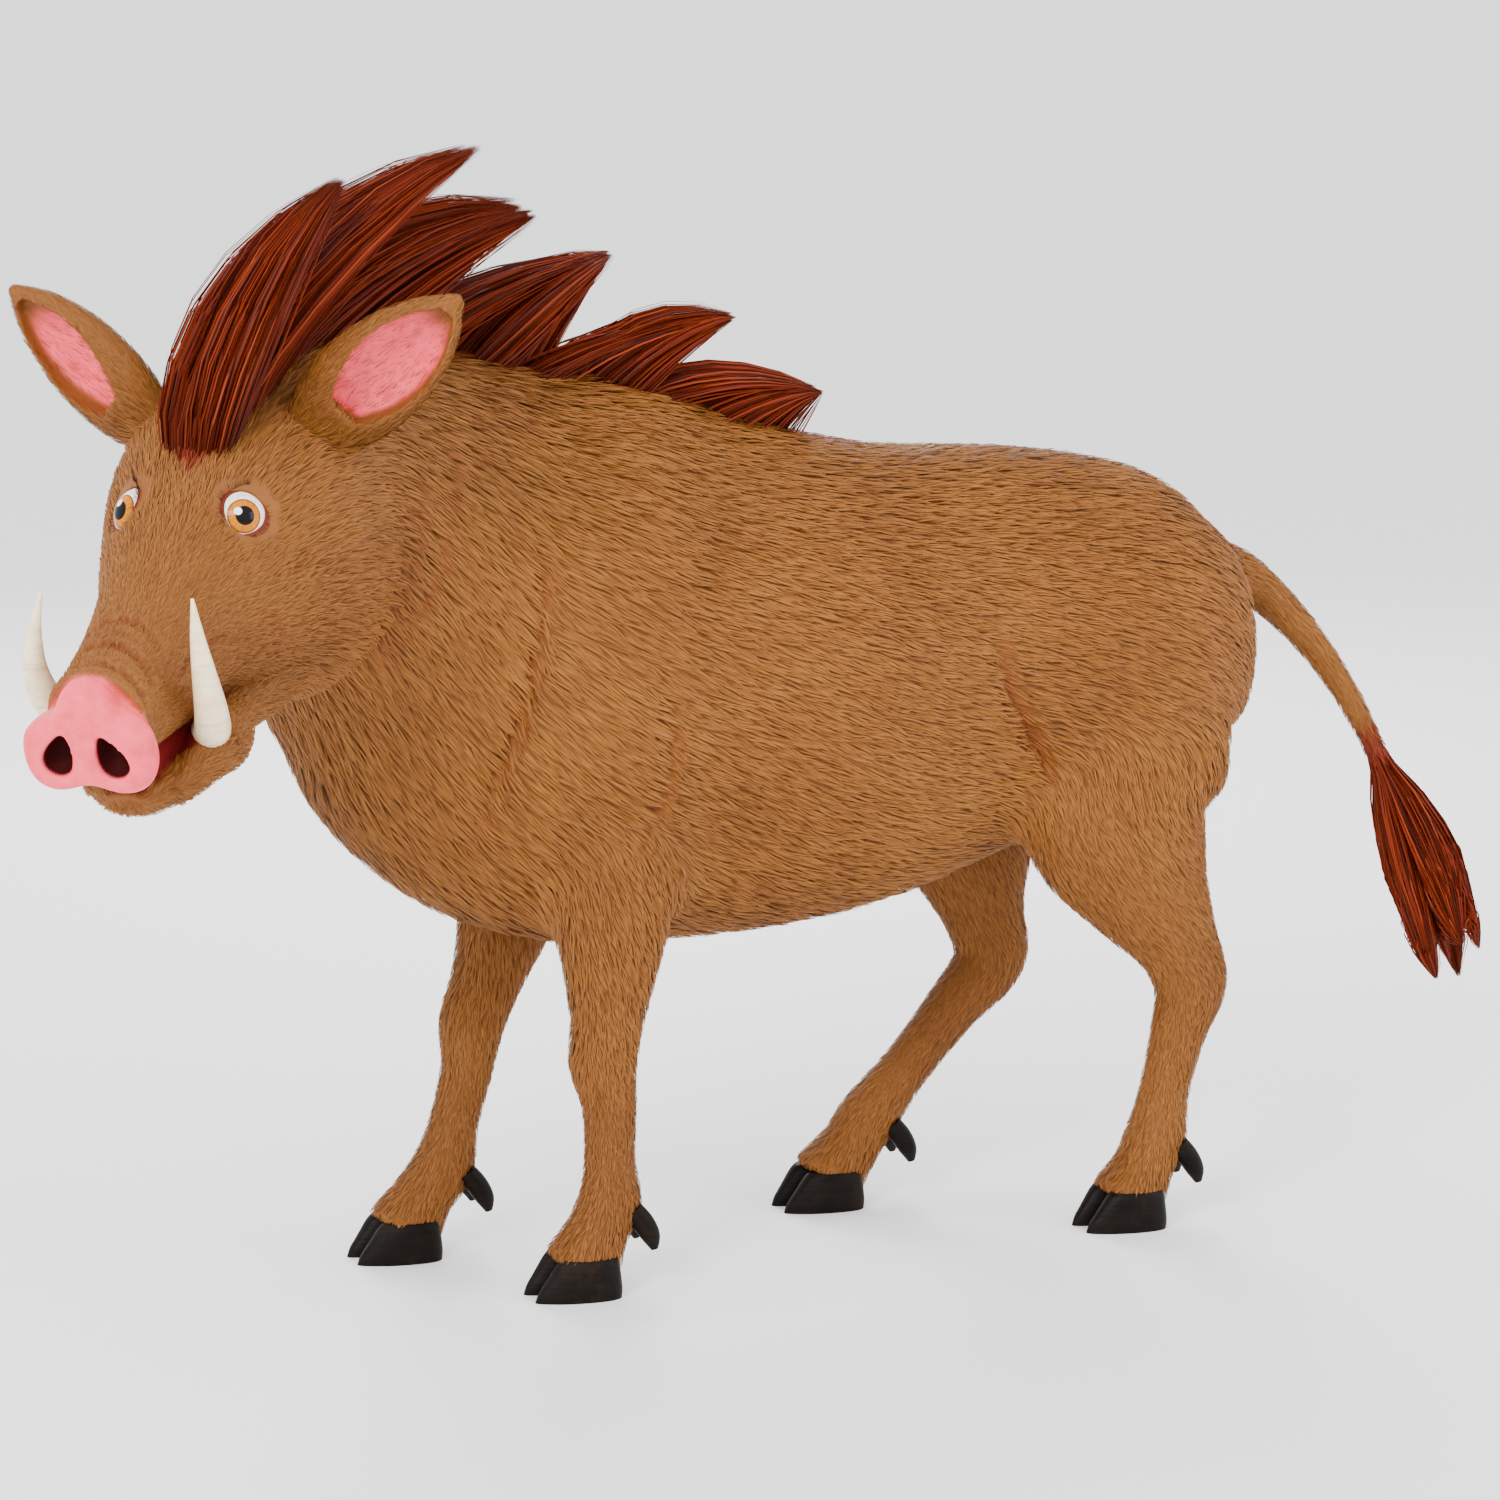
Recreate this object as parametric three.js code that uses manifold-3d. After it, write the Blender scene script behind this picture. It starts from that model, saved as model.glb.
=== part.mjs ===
// An adult male wild boar (Sus scrofa), standing with its head turned to its left, life size.
//
// Frame: +Z up, the head towards -X, the animal's left side towards -Y, the four feet on z = 0.
// Lengths are millimetres. Body tables are in percent of the withers' height, and PERCENT turns them into
// millimetres. Every body part is a Loft: rings of a rounded section set square to a curved centre line.
// The tables give the skin. The solids stand off it by the column "coat", the depth of the short fur, and
// the long bristles of the crest and the tail's tuft are locks that stand on it.

import * as THREE from "three";
import { mergeVertices } from "three/addons/utils/BufferGeometryUtils.js";
import Module from "manifold-3d";

const wasm = await Module();
wasm.setup();

// ---------------------------------------------------------------- driving dimensions

const WITHERS_HEIGHT = 900;
const PERCENT = WITHERS_HEIGHT / 100;
const HEAD_LENGTH = 50; // nape to the front of the snout disc, in the head's own percent
const HEAD_TURN = 50; // degrees to the animal's left
const HEAD_DROP = 21; // degrees below level
const HEAD_SIZE = 1.06; // a percent in the head's own tables, as a share of one in the body's
const GAP = 0.35; // clearance between two nodes that meet, mm
const FOOT_SPREAD = 11; // from the middle plane to a foot's middle, percent
const CORONET = 4.4; // height of the top of the hooves, percent

const deg = THREE.MathUtils.degToRad;
const vec = (x, y, z) => new THREE.Vector3(x, y, z);
const percent = (x, y, z) => vec(x, y, z).multiplyScalar(PERCENT);
const { lerp, clamp } = THREE.MathUtils;
const UP = vec(0, 0, 1);
const FORWARD = vec(-1, 0, 0);
const SIDES = { left: 1, right: -1 };

// A repeatable random number from 0 to 1.
function seeded(seed) {
  let state = seed;
  return () => {
    state = (state * 1664525 + 1013904223) % 4294967296;
    return state / 4294967296;
  };
}

// ---------------------------------------------------------------- closed surfaces and solids

// Rings of points, each counter-clockwise round the way on, skinned into one closed surface.
// The last ring is closed by a fan round its centre, or drawn to the point tip.
function skinRings(rings, tip) {
  const count = rings[0].length;
  const points = rings.flat();
  const faces = [];
  for (let r = 0; r + 1 < rings.length; r++) {
    for (let i = 0; i < count; i++) {
      const [a, b] = [r * count + i, r * count + ((i + 1) % count)];
      faces.push(a, b, b + count, a, b + count, a + count);
    }
  }
  const middle = (ring) => ring.reduce((sum, p) => sum.add(p), vec(0, 0, 0)).divideScalar(count);
  const start = points.push(middle(rings[0])) - 1;
  const end = points.push(tip ?? middle(rings[rings.length - 1])) - 1;
  const lastRing = (rings.length - 1) * count;
  for (let i = 0; i < count; i++) {
    const next = (i + 1) % count;
    faces.push(start, next, i, end, lastRing + i, lastRing + next);
  }
  const geometry = new THREE.BufferGeometry().setFromPoints(points);
  geometry.setIndex(faces);
  return geometry;
}

// A closed indexed geometry as a manifold-3d solid.
function solidOf(geometry) {
  return new wasm.Manifold(
    new wasm.Mesh({
      numProp: 3,
      vertProperties: new Float32Array(geometry.getAttribute("position").array),
      triVerts: new Uint32Array(geometry.index.array),
    }),
  );
}

const unite = (solids) => wasm.Manifold.union(solids);

// The largest closed surface of a solid: scraps that a cut leaves loose are dropped.
function largest(solid) {
  return solid.decompose().reduce((a, b) => (b.volume() > a.volume() ? b : a));
}

function ball(centre, radius, stretch = vec(1, 1, 1), turn = new THREE.Quaternion(), detail = 8) {
  const sphere = new THREE.SphereGeometry(radius, detail * 2, detail);
  sphere.deleteAttribute("normal");
  sphere.deleteAttribute("uv");
  const place = new THREE.Matrix4().compose(centre, turn, stretch);
  return solidOf(mergeVertices(sphere.applyMatrix4(place), 1e-3));
}

// The turn that takes +X to forward and +Z as near to up as it can be.
function facing(forward, up) {
  const x = forward.clone().normalize();
  const y = up.clone().cross(x).normalize();
  const basis = new THREE.Matrix4().makeBasis(x, y, x.clone().cross(y));
  return new THREE.Quaternion().setFromRotationMatrix(basis);
}

// ---------------------------------------------------------------- lofts

// A smooth curve through evenly numbered values.
function catmull(values, t) {
  const last = values.length - 1;
  const i = clamp(Math.floor(t), 0, last - 1);
  const f = t - i;
  const [a, b, c, d] = [i - 1, i, i + 1, i + 2].map((k) => values[clamp(k, 0, last)]);
  return b + 0.5 * f * (c - a + f * (2 * a - 5 * b + 4 * c - d + f * (3 * (b - c) + d - a)));
}

// A body part as rings along a centre line. Angle 0 is the part's left, 90 its top and -90 its underside.
class Loft {
  constructor(columns, rows, { top = UP, swells = [] } = {}) {
    this.last = rows.length - 1;
    this.top = top;
    this.swells = swells;
    this.table = {};
    columns.split(" ").forEach((column, k) => (this.table[column] = rows.map((row) => row[k])));
  }

  value(column, t, otherwise = 0) {
    return this.table[column] ? catmull(this.table[column], t) : otherwise;
  }

  centre(t) {
    return percent(this.value("x", t), this.value("y", t), this.value("z", t));
  }

  frame(t) {
    const step = 0.02;
    const ahead = this.centre(Math.min(t + step, this.last));
    const along = ahead.sub(this.centre(Math.max(t - step, 0))).normalize();
    const left = this.top.clone().cross(along).normalize();
    return { centre: this.centre(t), along, left, up: along.clone().cross(left) };
  }

  // How far the flesh swells at a place, such as over a muscle. Each swell is the same on both sides.
  swell(t, angle) {
    let rise = 0;
    for (const s of this.swells) {
      for (const middle of [s.angle, 180 - s.angle]) {
        const turn = ((THREE.MathUtils.radToDeg(angle) - middle + 540) % 360) - 180;
        rise += s.rise * Math.exp(-(((t - s.at) / s.long) ** 2) - (turn / s.wide) ** 2);
      }
    }
    return rise * PERCENT;
  }

  // The point at an angle round the part, grow millimetres off its skin.
  point(t, angle, grow = 0) {
    const { centre, left, up } = this.frame(t);
    const power = 2 / this.value("square", t, 2);
    const rounded = (v) => Math.sign(v) * Math.abs(v) ** power;
    const [across, rise] = [rounded(Math.cos(angle)), rounded(Math.sin(angle))];
    const [high, low] = [Math.max(rise, 0), Math.max(-rise, 0)];
    const side = Math.max(this.value("side", t), 0.1) * PERCENT;
    const reach = Math.max(this.value(rise > 0 ? "above" : "below", t), 0.1) * PERCENT;
    const narrow = 1 - this.value("ridge", t) * high * high - this.value("keel", t) * low * low;
    const outward = left.clone().multiplyScalar(across / side).addScaledVector(up, rise / reach).normalize();
    return centre
      .addScaledVector(left, across * side * narrow)
      .addScaledVector(up, rise * reach)
      .addScaledVector(outward, grow + this.swell(t, angle));
  }

  // The surface at a place: its outward normal, and the steps of t and angle that move one millimetre.
  surface(t, angle, grow = 0) {
    const step = 0.03;
    const here = this.point(t, angle, grow);
    const forward = this.point(t + step, angle, grow).sub(this.point(t - step, angle, grow));
    const round = this.point(t, angle + step, grow).sub(this.point(t, angle - step, grow));
    return {
      here,
      normal: round.clone().cross(forward).normalize(),
      forward: forward.clone().normalize(),
      perT: (2 * step) / forward.length(),
      perAngle: (2 * step) / round.length(),
    };
  }

  coat(t) {
    return this.value("coat", t) * PERCENT;
  }

  // The closed solid of a stretch, out to its coat and clear millimetres more.
  solid({ from = 0, to = this.last, rings, segments, clear = 0 }) {
    const made = [];
    for (let r = 0; r < rings; r++) {
      const t = lerp(from, to, r / (rings - 1));
      const ends = r === 0 ? -clear : r === rings - 1 ? clear : 0;
      const onward = this.frame(t).along.multiplyScalar(ends);
      const ring = [];
      for (let i = 0; i < segments; i++) {
        const place = this.surface(t, Math.PI / 2 + (2 * Math.PI * i) / segments, this.coat(t));
        ring.push(place.here.addScaledVector(place.normal, clear).add(onward));
      }
      made.push(ring);
    }
    return solidOf(skinRings(made));
  }

  // Half of GAP as a step of t, to part two stretches that meet.
  halfGap(t) {
    return (this.surface(t, 0).perT * GAP) / 2;
  }
}

// ---------------------------------------------------------------- locks

// A flat tapered lock with a lens for its section, along a path of four points, the last of them its tip.
// Its broad sides face along flats.
const LOCK_WIDTHS = [0.45, 1, 0.74];
const LOCK_DEPTHS = [1, 0.9, 0.6];
const EDGE_CLEAR = 8; // a thin edge moves this many times as far as a face, to clear all of the lock

function lockSolid(path, flats, { width, depth }, clear) {
  const rings = LOCK_WIDTHS.map((share, k) => {
    const along = path[k + 1].clone().sub(path[Math.max(k - 1, 0)]).normalize();
    const left = flats[k].clone().cross(along).normalize();
    const up = along.clone().cross(left);
    const across = (width * share) / 2 + EDGE_CLEAR * clear;
    const through = (depth * LOCK_DEPTHS[k]) / 2 + clear;
    const edge = (side, rise) => path[k].clone().addScaledVector(left, side).addScaledVector(up, rise);
    return [edge(across, 0), edge(0, through), edge(-across, 0), edge(0, -through)];
  });
  const beyond = path[3].clone().sub(path[2]).setLength(EDGE_CLEAR * clear);
  return solidOf(skinRings(rings, path[3].clone().add(beyond)));
}

const CREST_ROOT = 14; // depth of a crest lock's root in the flesh, mm
const CREST_BENDS = [0, 18, 40]; // degrees back from its lean at its root, its middle and its tip
const CREST_SWAYS = [0.5, 1, 1.5]; // shares of its sway to the left at the same places
const CREST_TWIST = 1.6; // how far its broad side turns forwards, for each degree of sway

// A bristle lock of the crest: it stands on a ridge, leans back and aside, and bends further at its tip.
function crestLock(loft, { t, angle, length, lean, sway, ...size }, clear = 0) {
  const place = loft.surface(t, angle, loft.coat(t));
  const { normal, forward } = place;
  const left = normal.clone().cross(forward).normalize();
  const aim = (back, aside) =>
    normal
      .clone()
      .multiplyScalar(Math.cos(deg(back)))
      .addScaledVector(forward, -Math.sin(deg(back)))
      .addScaledVector(left, Math.tan(deg(aside)))
      .normalize();
  const path = [place.here.clone().addScaledVector(aim(lean, sway * CREST_SWAYS[0]), -CREST_ROOT)];
  const runs = [CREST_ROOT + 0.38 * length, 0.34 * length, 0.28 * length];
  CREST_BENDS.forEach((more, k) =>
    path.push(path[k].clone().addScaledVector(aim(lean + more, sway * CREST_SWAYS[k]), runs[k])),
  );
  const along = aim(lean, sway);
  const flat = left.applyAxisAngle(normal, -CREST_TWIST * deg(sway));
  flat.addScaledVector(along, -flat.dot(along)).normalize();
  return lockSolid(path, [flat, flat, flat], size, clear);
}

// ---------------------------------------------------------------- trunk: rump, barrel, neck and head

const NAPE = { x: -73.6, y: -13.2, z: 91.4 };
const HEAD_FORWARD = vec(
  -Math.cos(deg(HEAD_DROP)) * Math.cos(deg(HEAD_TURN)),
  -Math.cos(deg(HEAD_DROP)) * Math.sin(deg(HEAD_TURN)),
  -Math.sin(deg(HEAD_DROP)),
);
const HEAD_LEFT = UP.clone().cross(HEAD_FORWARD).normalize();
const HEAD_UP = HEAD_FORWARD.clone().cross(HEAD_LEFT);

// A place in the head, in percent: forward from the nape, to the animal's left, and up from the axis.
function inHead(forward, left, up) {
  return percent(NAPE.x, NAPE.y, NAPE.z)
    .addScaledVector(HEAD_FORWARD, forward * HEAD_SIZE * PERCENT)
    .addScaledVector(HEAD_LEFT, left * HEAD_SIZE * PERCENT)
    .addScaledVector(HEAD_UP, up * HEAD_SIZE * PERCENT);
}

// A row of a loft's table that sits in the head, its first three sizes in the head's own percent. The rows of
// headRow sit on the head's axis, or drop below it.
function headRowAt(forward, left, up, ...sizes) {
  const place = inHead(forward, left, up).divideScalar(PERCENT);
  return [place.x, place.y, place.z, ...sizes.map((size, k) => (k < 3 ? size * HEAD_SIZE : size))];
}
const headRow = (forward, drop, ...sizes) => headRowAt(forward, 0, -drop, ...sizes);

const trunk = new Loft(
  "x y z side above below square ridge keel coat crest",
  [
    [47.7, 0, 71.4, 2.6, 3.0, 3.4, 2.0, 0.0, 0.0, 1.1, 0], // 0 rump
    [45.7, 0, 71.2, 9.0, 8.8, 12.4, 2.0, 0.12, 0.0, 1.2, 0], // 1 buttocks
    [40.1, 0, 70.4, 13.8, 14.6, 16.4, 2.1, 0.26, 0.0, 1.3, 0], // 2 pelvis
    [30.4, 0, 69.8, 16.4, 18.6, 20.0, 2.2, 0.32, 0.0, 1.3, 0], // 3 croup
    [15.9, 0, 69.0, 17.2, 21.4, 24.0, 2.2, 0.32, 0.05, 1.3, 0.6], // 4 loin
    [-1.3, 0, 67.8, 20.2, 23.8, 28.4, 2.2, 0.34, 0.08, 1.3, 2.0], // 5 barrel
    [-18.5, 0, 68.6, 21.0, 26.6, 31.2, 2.2, 0.38, 0.12, 1.3, 4.4], // 6 ribs
    [-34.4, 0, 71.4, 19.8, 29.0, 33.0, 2.2, 0.42, 0.2, 1.3, 7.0], // 7 shoulders
    [-46.5, -0.5, 76.4, 17.8, 27.0, 30.4, 2.2, 0.38, 0.26, 1.3, 9.0], // 8 chest
    [-56.6, -2.8, 82.2, 16.4, 23.2, 25.0, 2.2, 0.3, 0.24, 1.3, 11.0], // 9 neck base
    [-65.2, -6.8, 86.4, 15.2, 20.2, 20.4, 2.2, 0.22, 0.18, 1.3, 12.8], // 10 neck middle
    [-72.8, -12.4, 88.8, 14.2, 17.6, 17.4, 2.2, 0.12, 0.12, 1.2, 14.2], // 11 nape
    headRow(10.5, 0, 12.4, 14.0, 16.4, 2.3, 0.1, 0.15, 1.0, 16.0), // 12 cheeks
    headRow(20.0, 0, 9.4, 10.9, 11.2, 2.3, 0.12, 0.1, 0.7, 11.0), // 13 brow
    headRow(29.0, 0, 6.7, 7.9, 6.5, 2.3, 0.15, 0.0, 0.5, 0), // 14 root of the muzzle
    headRow(37.8, 0, 5.2, 5.9, 4.7, 2.3, 0.12, 0.0, 0.4, 0), // 15 muzzle
    headRow(45.9, 0, 4.7, 4.9, 4.3, 2.2, 0.1, 0.0, 0.3, 0), // 16 end of the muzzle
  ],
  {
    swells: [
      { at: 2.9, angle: -24, long: 1.2, wide: 46, rise: 2.6 }, // haunch
      { at: 4.35, angle: -24, long: 0.6, wide: 38, rise: -1.7 }, // flank hollow
      { at: 6.25, angle: -34, long: 0.4, wide: 30, rise: -0.9 }, // behind the elbow
      { at: 7.3, angle: -14, long: 0.8, wide: 42, rise: 2.4 }, // shoulder
      { at: 7.5, angle: 40, long: 0.6, wide: 22, rise: 0.8 }, // top of the shoulder blade
      { at: 8.7, angle: -6, long: 0.4, wide: 34, rise: -0.8 }, // groove before the shoulder
      { at: 11.9, angle: -42, long: 0.8, wide: 32, rise: 1.4 }, // jowl
      { at: 12.8, angle: 62, long: 0.4, wide: 14, rise: 0.5 }, // brow ridge
      { at: 13.1, angle: -8, long: 0.5, wide: 22, rise: 0.7 }, // cheekbone
      { at: 14.9, angle: -30, long: 0.5, wide: 26, rise: 0.8 }, // lip raised by the tusk
      { at: 16.0, angle: 60, long: 0.22, wide: 60, rise: 0.35 }, // fold behind the snout disc
    ],
  },
);
const NECK_BASE = 9;
const NECK_END = 11.2;
const MUZZLE_END = 16;
const CREST_START = 12.6;
const CREST_END = 5.2;
const CREST_POINTS = [12.4, 11.8, 11.15, 10.4, 9.2, 7.9, 6.5]; // locks draw together to these
const CREST_SPACING = 15; // from one row of locks to the next, mm
const CREST_TALL = 130; // mm
const CREST_SWAYS_AT = [
  [9.2, 0], // station of the trunk, degrees to the left
  [10.4, 40],
  [11.15, 46],
  [11.8, 32],
  [12.4, 14],
];

const jaw = new Loft(
  "x y z side above below square coat",
  [
    headRow(11, 10.6, 8.0, 4.2, 5.2, 2.2, 0.6), // 0 inside the cheeks
    headRow(19.6, 10.3, 6.6, 3.2, 4.4, 2.2, 0.6), // 1 angle of the jaw
    headRow(28.2, 9.4, 5.3, 2.6, 3.5, 2.2, 0.5), // 2 behind the tusks
    headRow(36, 8.9, 5.0, 2.0, 3.0, 2.2, 0.4), // 3 lower lip
    headRow(41.4, 9.4, 4.2, 1.7, 2.4, 2.2, 0.3), // 4 chin
    headRow(43.8, 9.5, 2.2, 1.0, 1.3, 2.0, 0.2), // 5 front of the chin
  ],
  { top: HEAD_UP },
);

const snoutDisc = new Loft(
  "x y z side above below square ridge",
  [
    headRow(46.0, 0, 5.0, 5.0, 4.6, 2.2, 0.2),
    headRow(47.0, 0, 6.0, 5.6, 5.2, 2.3, 0.34),
    headRow(48.8, 0, 6.3, 5.7, 5.4, 2.3, 0.4),
    headRow(HEAD_LENGTH, 0, 5.6, 5.0, 4.8, 2.3, 0.4),
  ],
  { top: HEAD_UP },
);

// How far the crest falls to the left at a station of the trunk, degrees.
function swayAt(t) {
  const k = clamp(CREST_SWAYS_AT.findIndex(([station]) => station > t), 1, CREST_SWAYS_AT.length - 1);
  const [[from, least], [to, most]] = [CREST_SWAYS_AT[k - 1], CREST_SWAYS_AT[k]];
  return lerp(least, most, clamp((t - from) / (to - from), 0, 1));
}

// Places for the bristle locks of the crest, in three rows side by side. Low ones lean back further. Those
// about one of the crest's points lean towards it, and get shorter away from it.
function crestPlaces(from, to, random) {
  const places = [];
  for (let t = from, row = 0; t > to; t -= CREST_SPACING * trunk.surface(t, Math.PI / 2).perT, row++) {
    const near = CREST_POINTS.reduce((a, b) => (Math.abs(b - t) < Math.abs(a - t) ? b : a));
    const end = t > near ? CREST_START : CREST_END;
    const next = CREST_POINTS[CREST_POINTS.indexOf(near) + (t > near ? -1 : 1)] ?? end;
    const before = clamp((2 * (t - near)) / Math.abs(next - near), -1, 1);
    const height = trunk.value("crest", t) * PERCENT * (1 + 0.1 * random() - 0.36 * Math.abs(before));
    const aside = [0, 8, -8][row % 3];
    const upright = clamp(height / CREST_TALL, 0, 1);
    const lean = lerp(54, 38, upright) + 4 * random() + 12 * before + Math.abs(aside) * 0.4;
    places.push({
      t,
      angle: deg(90 + aside + 2 * random() - 1),
      length: height / Math.cos(deg(lean + CREST_BENDS[1])),
      lean,
      sway: swayAt(t),
      width: clamp(height * 0.46, 26, 54),
      depth: 11,
    });
  }
  return places;
}

// A stretch of the trunk with the locks of the crest that stand on it.
function trunkPart({ from, to, rings, crest }) {
  const start = from === 0 ? 0 : from + trunk.halfGap(from);
  const end = to === MUZZLE_END ? to : to - trunk.halfGap(to);
  return (clear = 0) =>
    unite([
      trunk.solid({ from: start, to: end, rings, segments: 28, clear }),
      ...crest.map((place) => crestLock(trunk, place, clear)),
    ]);
}

const jawPart = (clear = 0) => jaw.solid({ rings: 7, segments: 12, clear });

// ---------------------------------------------------------------- legs and hooves

const LEG_COLUMNS = "x y z side above below square coat";
const ELBOW = { x: -35.4, y: 12.6, z: 47.8 };
const HIP = { x: 29.4, y: 8.5, z: 70 };

// A foreleg down to a foot at footX: its table is the shoulder's end, elbow, forearm, knee, cannon, fetlock.
function foreleg(side, footX) {
  const row = (z, forward, ...sizes) => {
    const share = clamp((ELBOW.z - z) / (ELBOW.z - CORONET), 0, 1);
    return [lerp(ELBOW.x, footX, share) - forward, -side * lerp(ELBOW.y, FOOT_SPREAD, share), z, ...sizes];
  };
  return new Loft(
    LEG_COLUMNS,
    [
      row(60.5, 1.5, 5.6, 9.6, 9.8, 2, 0.7),
      row(49.5, 0.4, 5.6, 7.8, 8.4, 2, 0.7),
      row(39.5, 0.2, 4.7, 5.7, 5.8, 2, 0.6),
      row(31.4, 0.3, 3.6, 4.0, 3.8, 2, 0.5),
      row(26.0, 0.6, 3.4, 3.8, 3.2, 2.2, 0.4), // 4 knee
      row(21.0, 0.1, 2.8, 2.7, 3.0, 2.1, 0.4),
      row(14.6, 0, 2.6, 2.5, 3.0, 2, 0.4),
      row(10.2, 0, 3.2, 3.0, 3.8, 2.1, 0.4), // 7 fetlock
      row(6.8, 1.2, 3.2, 3.2, 3.3, 2.2, 0.4),
      row(CORONET - 1.4, 2.6, 4.1, 4.5, 3.7, 2.3, 0.3),
    ],
    { top: FORWARD },
  );
}
const KNEE = 4;

// A hind leg from the thigh by way of the stifle and the hock to a foot at footX.
function hindleg(side, footX, stifleX, hockX) {
  const y = (z) => -side * lerp(12.2, FOOT_SPREAD, clamp((48 - z) / 30, 0, 1));
  const fetlockX = lerp(hockX - 1.2, footX, 0.86);
  const row = (x, z, ...sizes) => [x, y(z), z, ...sizes];
  return new Loft(
    LEG_COLUMNS,
    [
      [HIP.x, -side * HIP.y, HIP.z, 7, 13, 12.5, 2, 0.7],
      [lerp(HIP.x, stifleX, 0.45), -side * 10.4, 58, 7.4, 14, 14, 2, 0.7],
      row(lerp(stifleX, hockX, 0.06), 49, 6.3, 11.4, 12, 2, 0.7), // 2 stifle
      row(lerp(stifleX, hockX, 0.42), 40.5, 5.0, 7.6, 8.4, 2, 0.6),
      row(lerp(stifleX, hockX, 0.82), 33.4, 3.7, 4.7, 5.2, 2, 0.5),
      row(hockX, 28, 3.4, 3.8, 4.7, 2.1, 0.4), // 5 hock
      row(lerp(hockX, fetlockX, 0.3), 22.6, 2.8, 2.9, 3.5, 2.1, 0.4),
      row(lerp(hockX, fetlockX, 0.7), 15.6, 2.6, 2.6, 3.1, 2, 0.4),
      row(fetlockX, 10.4, 3.2, 3.0, 3.9, 2.1, 0.4), // 8 fetlock
      row(lerp(fetlockX, footX - 2, 0.5), 6.9, 3.2, 3.2, 3.4, 2.2, 0.4),
      row(footX - 2.6, CORONET - 1.4, 4.1, 4.5, 3.7, 2.3, 0.3),
    ],
    { top: FORWARD },
  );
}
const HOCK = 5;

const LEGS = {
  foreleg_left: { side: 1, footX: -36, joint: KNEE, loft: foreleg(1, -36) },
  foreleg_right: { side: -1, footX: -49, joint: KNEE, loft: foreleg(-1, -49) },
  hindleg_left: { side: 1, footX: 32.5, joint: HOCK, loft: hindleg(1, 32.5, 26, 37) },
  hindleg_right: { side: -1, footX: 4, joint: HOCK, loft: hindleg(-1, 4, 18.5, 22.5) },
};

// One main hoof: a blunt wedge with a flat sole, longer in front than behind.
function hoof(x, y, turn) {
  const place = vec(Math.cos(deg(turn)), Math.sin(deg(turn)), 0);
  const row = (z, ...sizes) => [x, y, z, ...sizes];
  return new Loft(
    "x y z side above below square ridge",
    [
      row(CORONET, 1.88, 3.7, 3.0, 2.6, 0.3),
      row(3.0, 2.06, 4.7, 3.2, 2.6, 0.35),
      row(1.2, 2.14, 6.0, 3.4, 2.6, 0.42),
      row(0, 2.1, 6.7, 3.4, 2.6, 0.48),
    ],
    { top: place.negate() },
  ).solid({ rings: 4, segments: 10 });
}

// A dewclaw: a short horn behind the fetlock, pointing down and back.
function dewclaw(x, y, outward) {
  return new Loft(
    "x y z side above below",
    [
      [x + 2.3, y, 9.5, 1.1, 1.2, 1.1],
      [x + 3.5, y + 0.2 * outward, 7.9, 1.2, 1.3, 1.2],
      [x + 4.3, y + 0.4 * outward, 6.2, 1.0, 1.0, 1.1],
      [x + 4.7, y + 0.5 * outward, 4.8, 0.4, 0.4, 0.45],
    ],
    { top: FORWARD },
  ).solid({ rings: 4, segments: 6 });
}

const random = seeded(11);
const torsoPart = trunkPart({
  from: 0,
  to: NECK_BASE,
  rings: 26,
  crest: crestPlaces(NECK_BASE - 0.15, CREST_END, random),
});
const neckPart = trunkPart({
  from: NECK_BASE,
  to: NECK_END,
  rings: 8,
  crest: crestPlaces(NECK_END - 0.2, NECK_BASE, random),
});
const headPart = trunkPart({
  from: NECK_END,
  to: MUZZLE_END,
  rings: 20,
  crest: crestPlaces(CREST_START, NECK_END, random),
});

// ---------------------------------------------------------------- tail

const tail = new Loft(
  "x y z side above below square coat",
  [
    [43.5, 0, 76.6, 3.4, 3.4, 3.8, 2, 0.6],
    [49.0, 0, 74.4, 2.8, 2.7, 2.9, 2, 0.6],
    [54.6, -0.3, 70.2, 2.2, 2.1, 2.2, 2, 0.6],
    [59.8, -0.8, 64.6, 1.75, 1.7, 1.7, 2, 0.55],
    [64.4, -1.4, 58.0, 1.45, 1.4, 1.4, 2, 0.55],
    [68.4, -1.9, 50.6, 1.25, 1.2, 1.2, 2, 0.6], // 5 start of the tuft
    [72.0, -2.4, 42.8, 1.2, 1.2, 1.2, 2, 0.6],
    [75.4, -2.8, 34.4, 1.0, 1.0, 1.0, 2, 0.5],
    [78.4, -3.1, 25.2, 0.3, 0.3, 0.3, 2, 0.2],
  ],
  { top: vec(1, 0, 0.3) },
);
const TUFT = 4.6;
const TUFT_LOCKS = 8;

// A bristle lock of the tuft, the k-th round the tail: it bulges out, then closes in to its tip.
function tuftLock(k, random) {
  const angle = (2 * Math.PI * (k + 0.3 * random())) / TUFT_LOCKS;
  const stretch = 0.85 + 0.3 * random();
  const path = [];
  const flats = [];
  for (const [t, grow] of [[TUFT + 0.35, -6], [5.9, 15], [6.9, 21], [8, 18]]) {
    const place = tail.surface(lerp(TUFT, t, stretch), angle, tail.coat(t) + grow);
    path.push(place.here);
    flats.push(place.normal);
  }
  return lockSolid(path, flats, { width: 36, depth: 13 }, 0);
}

// ---------------------------------------------------------------- ears, eyes, tusks, lips

const EAR = { at: 11.8, angle: 46, length: 19 };

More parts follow.
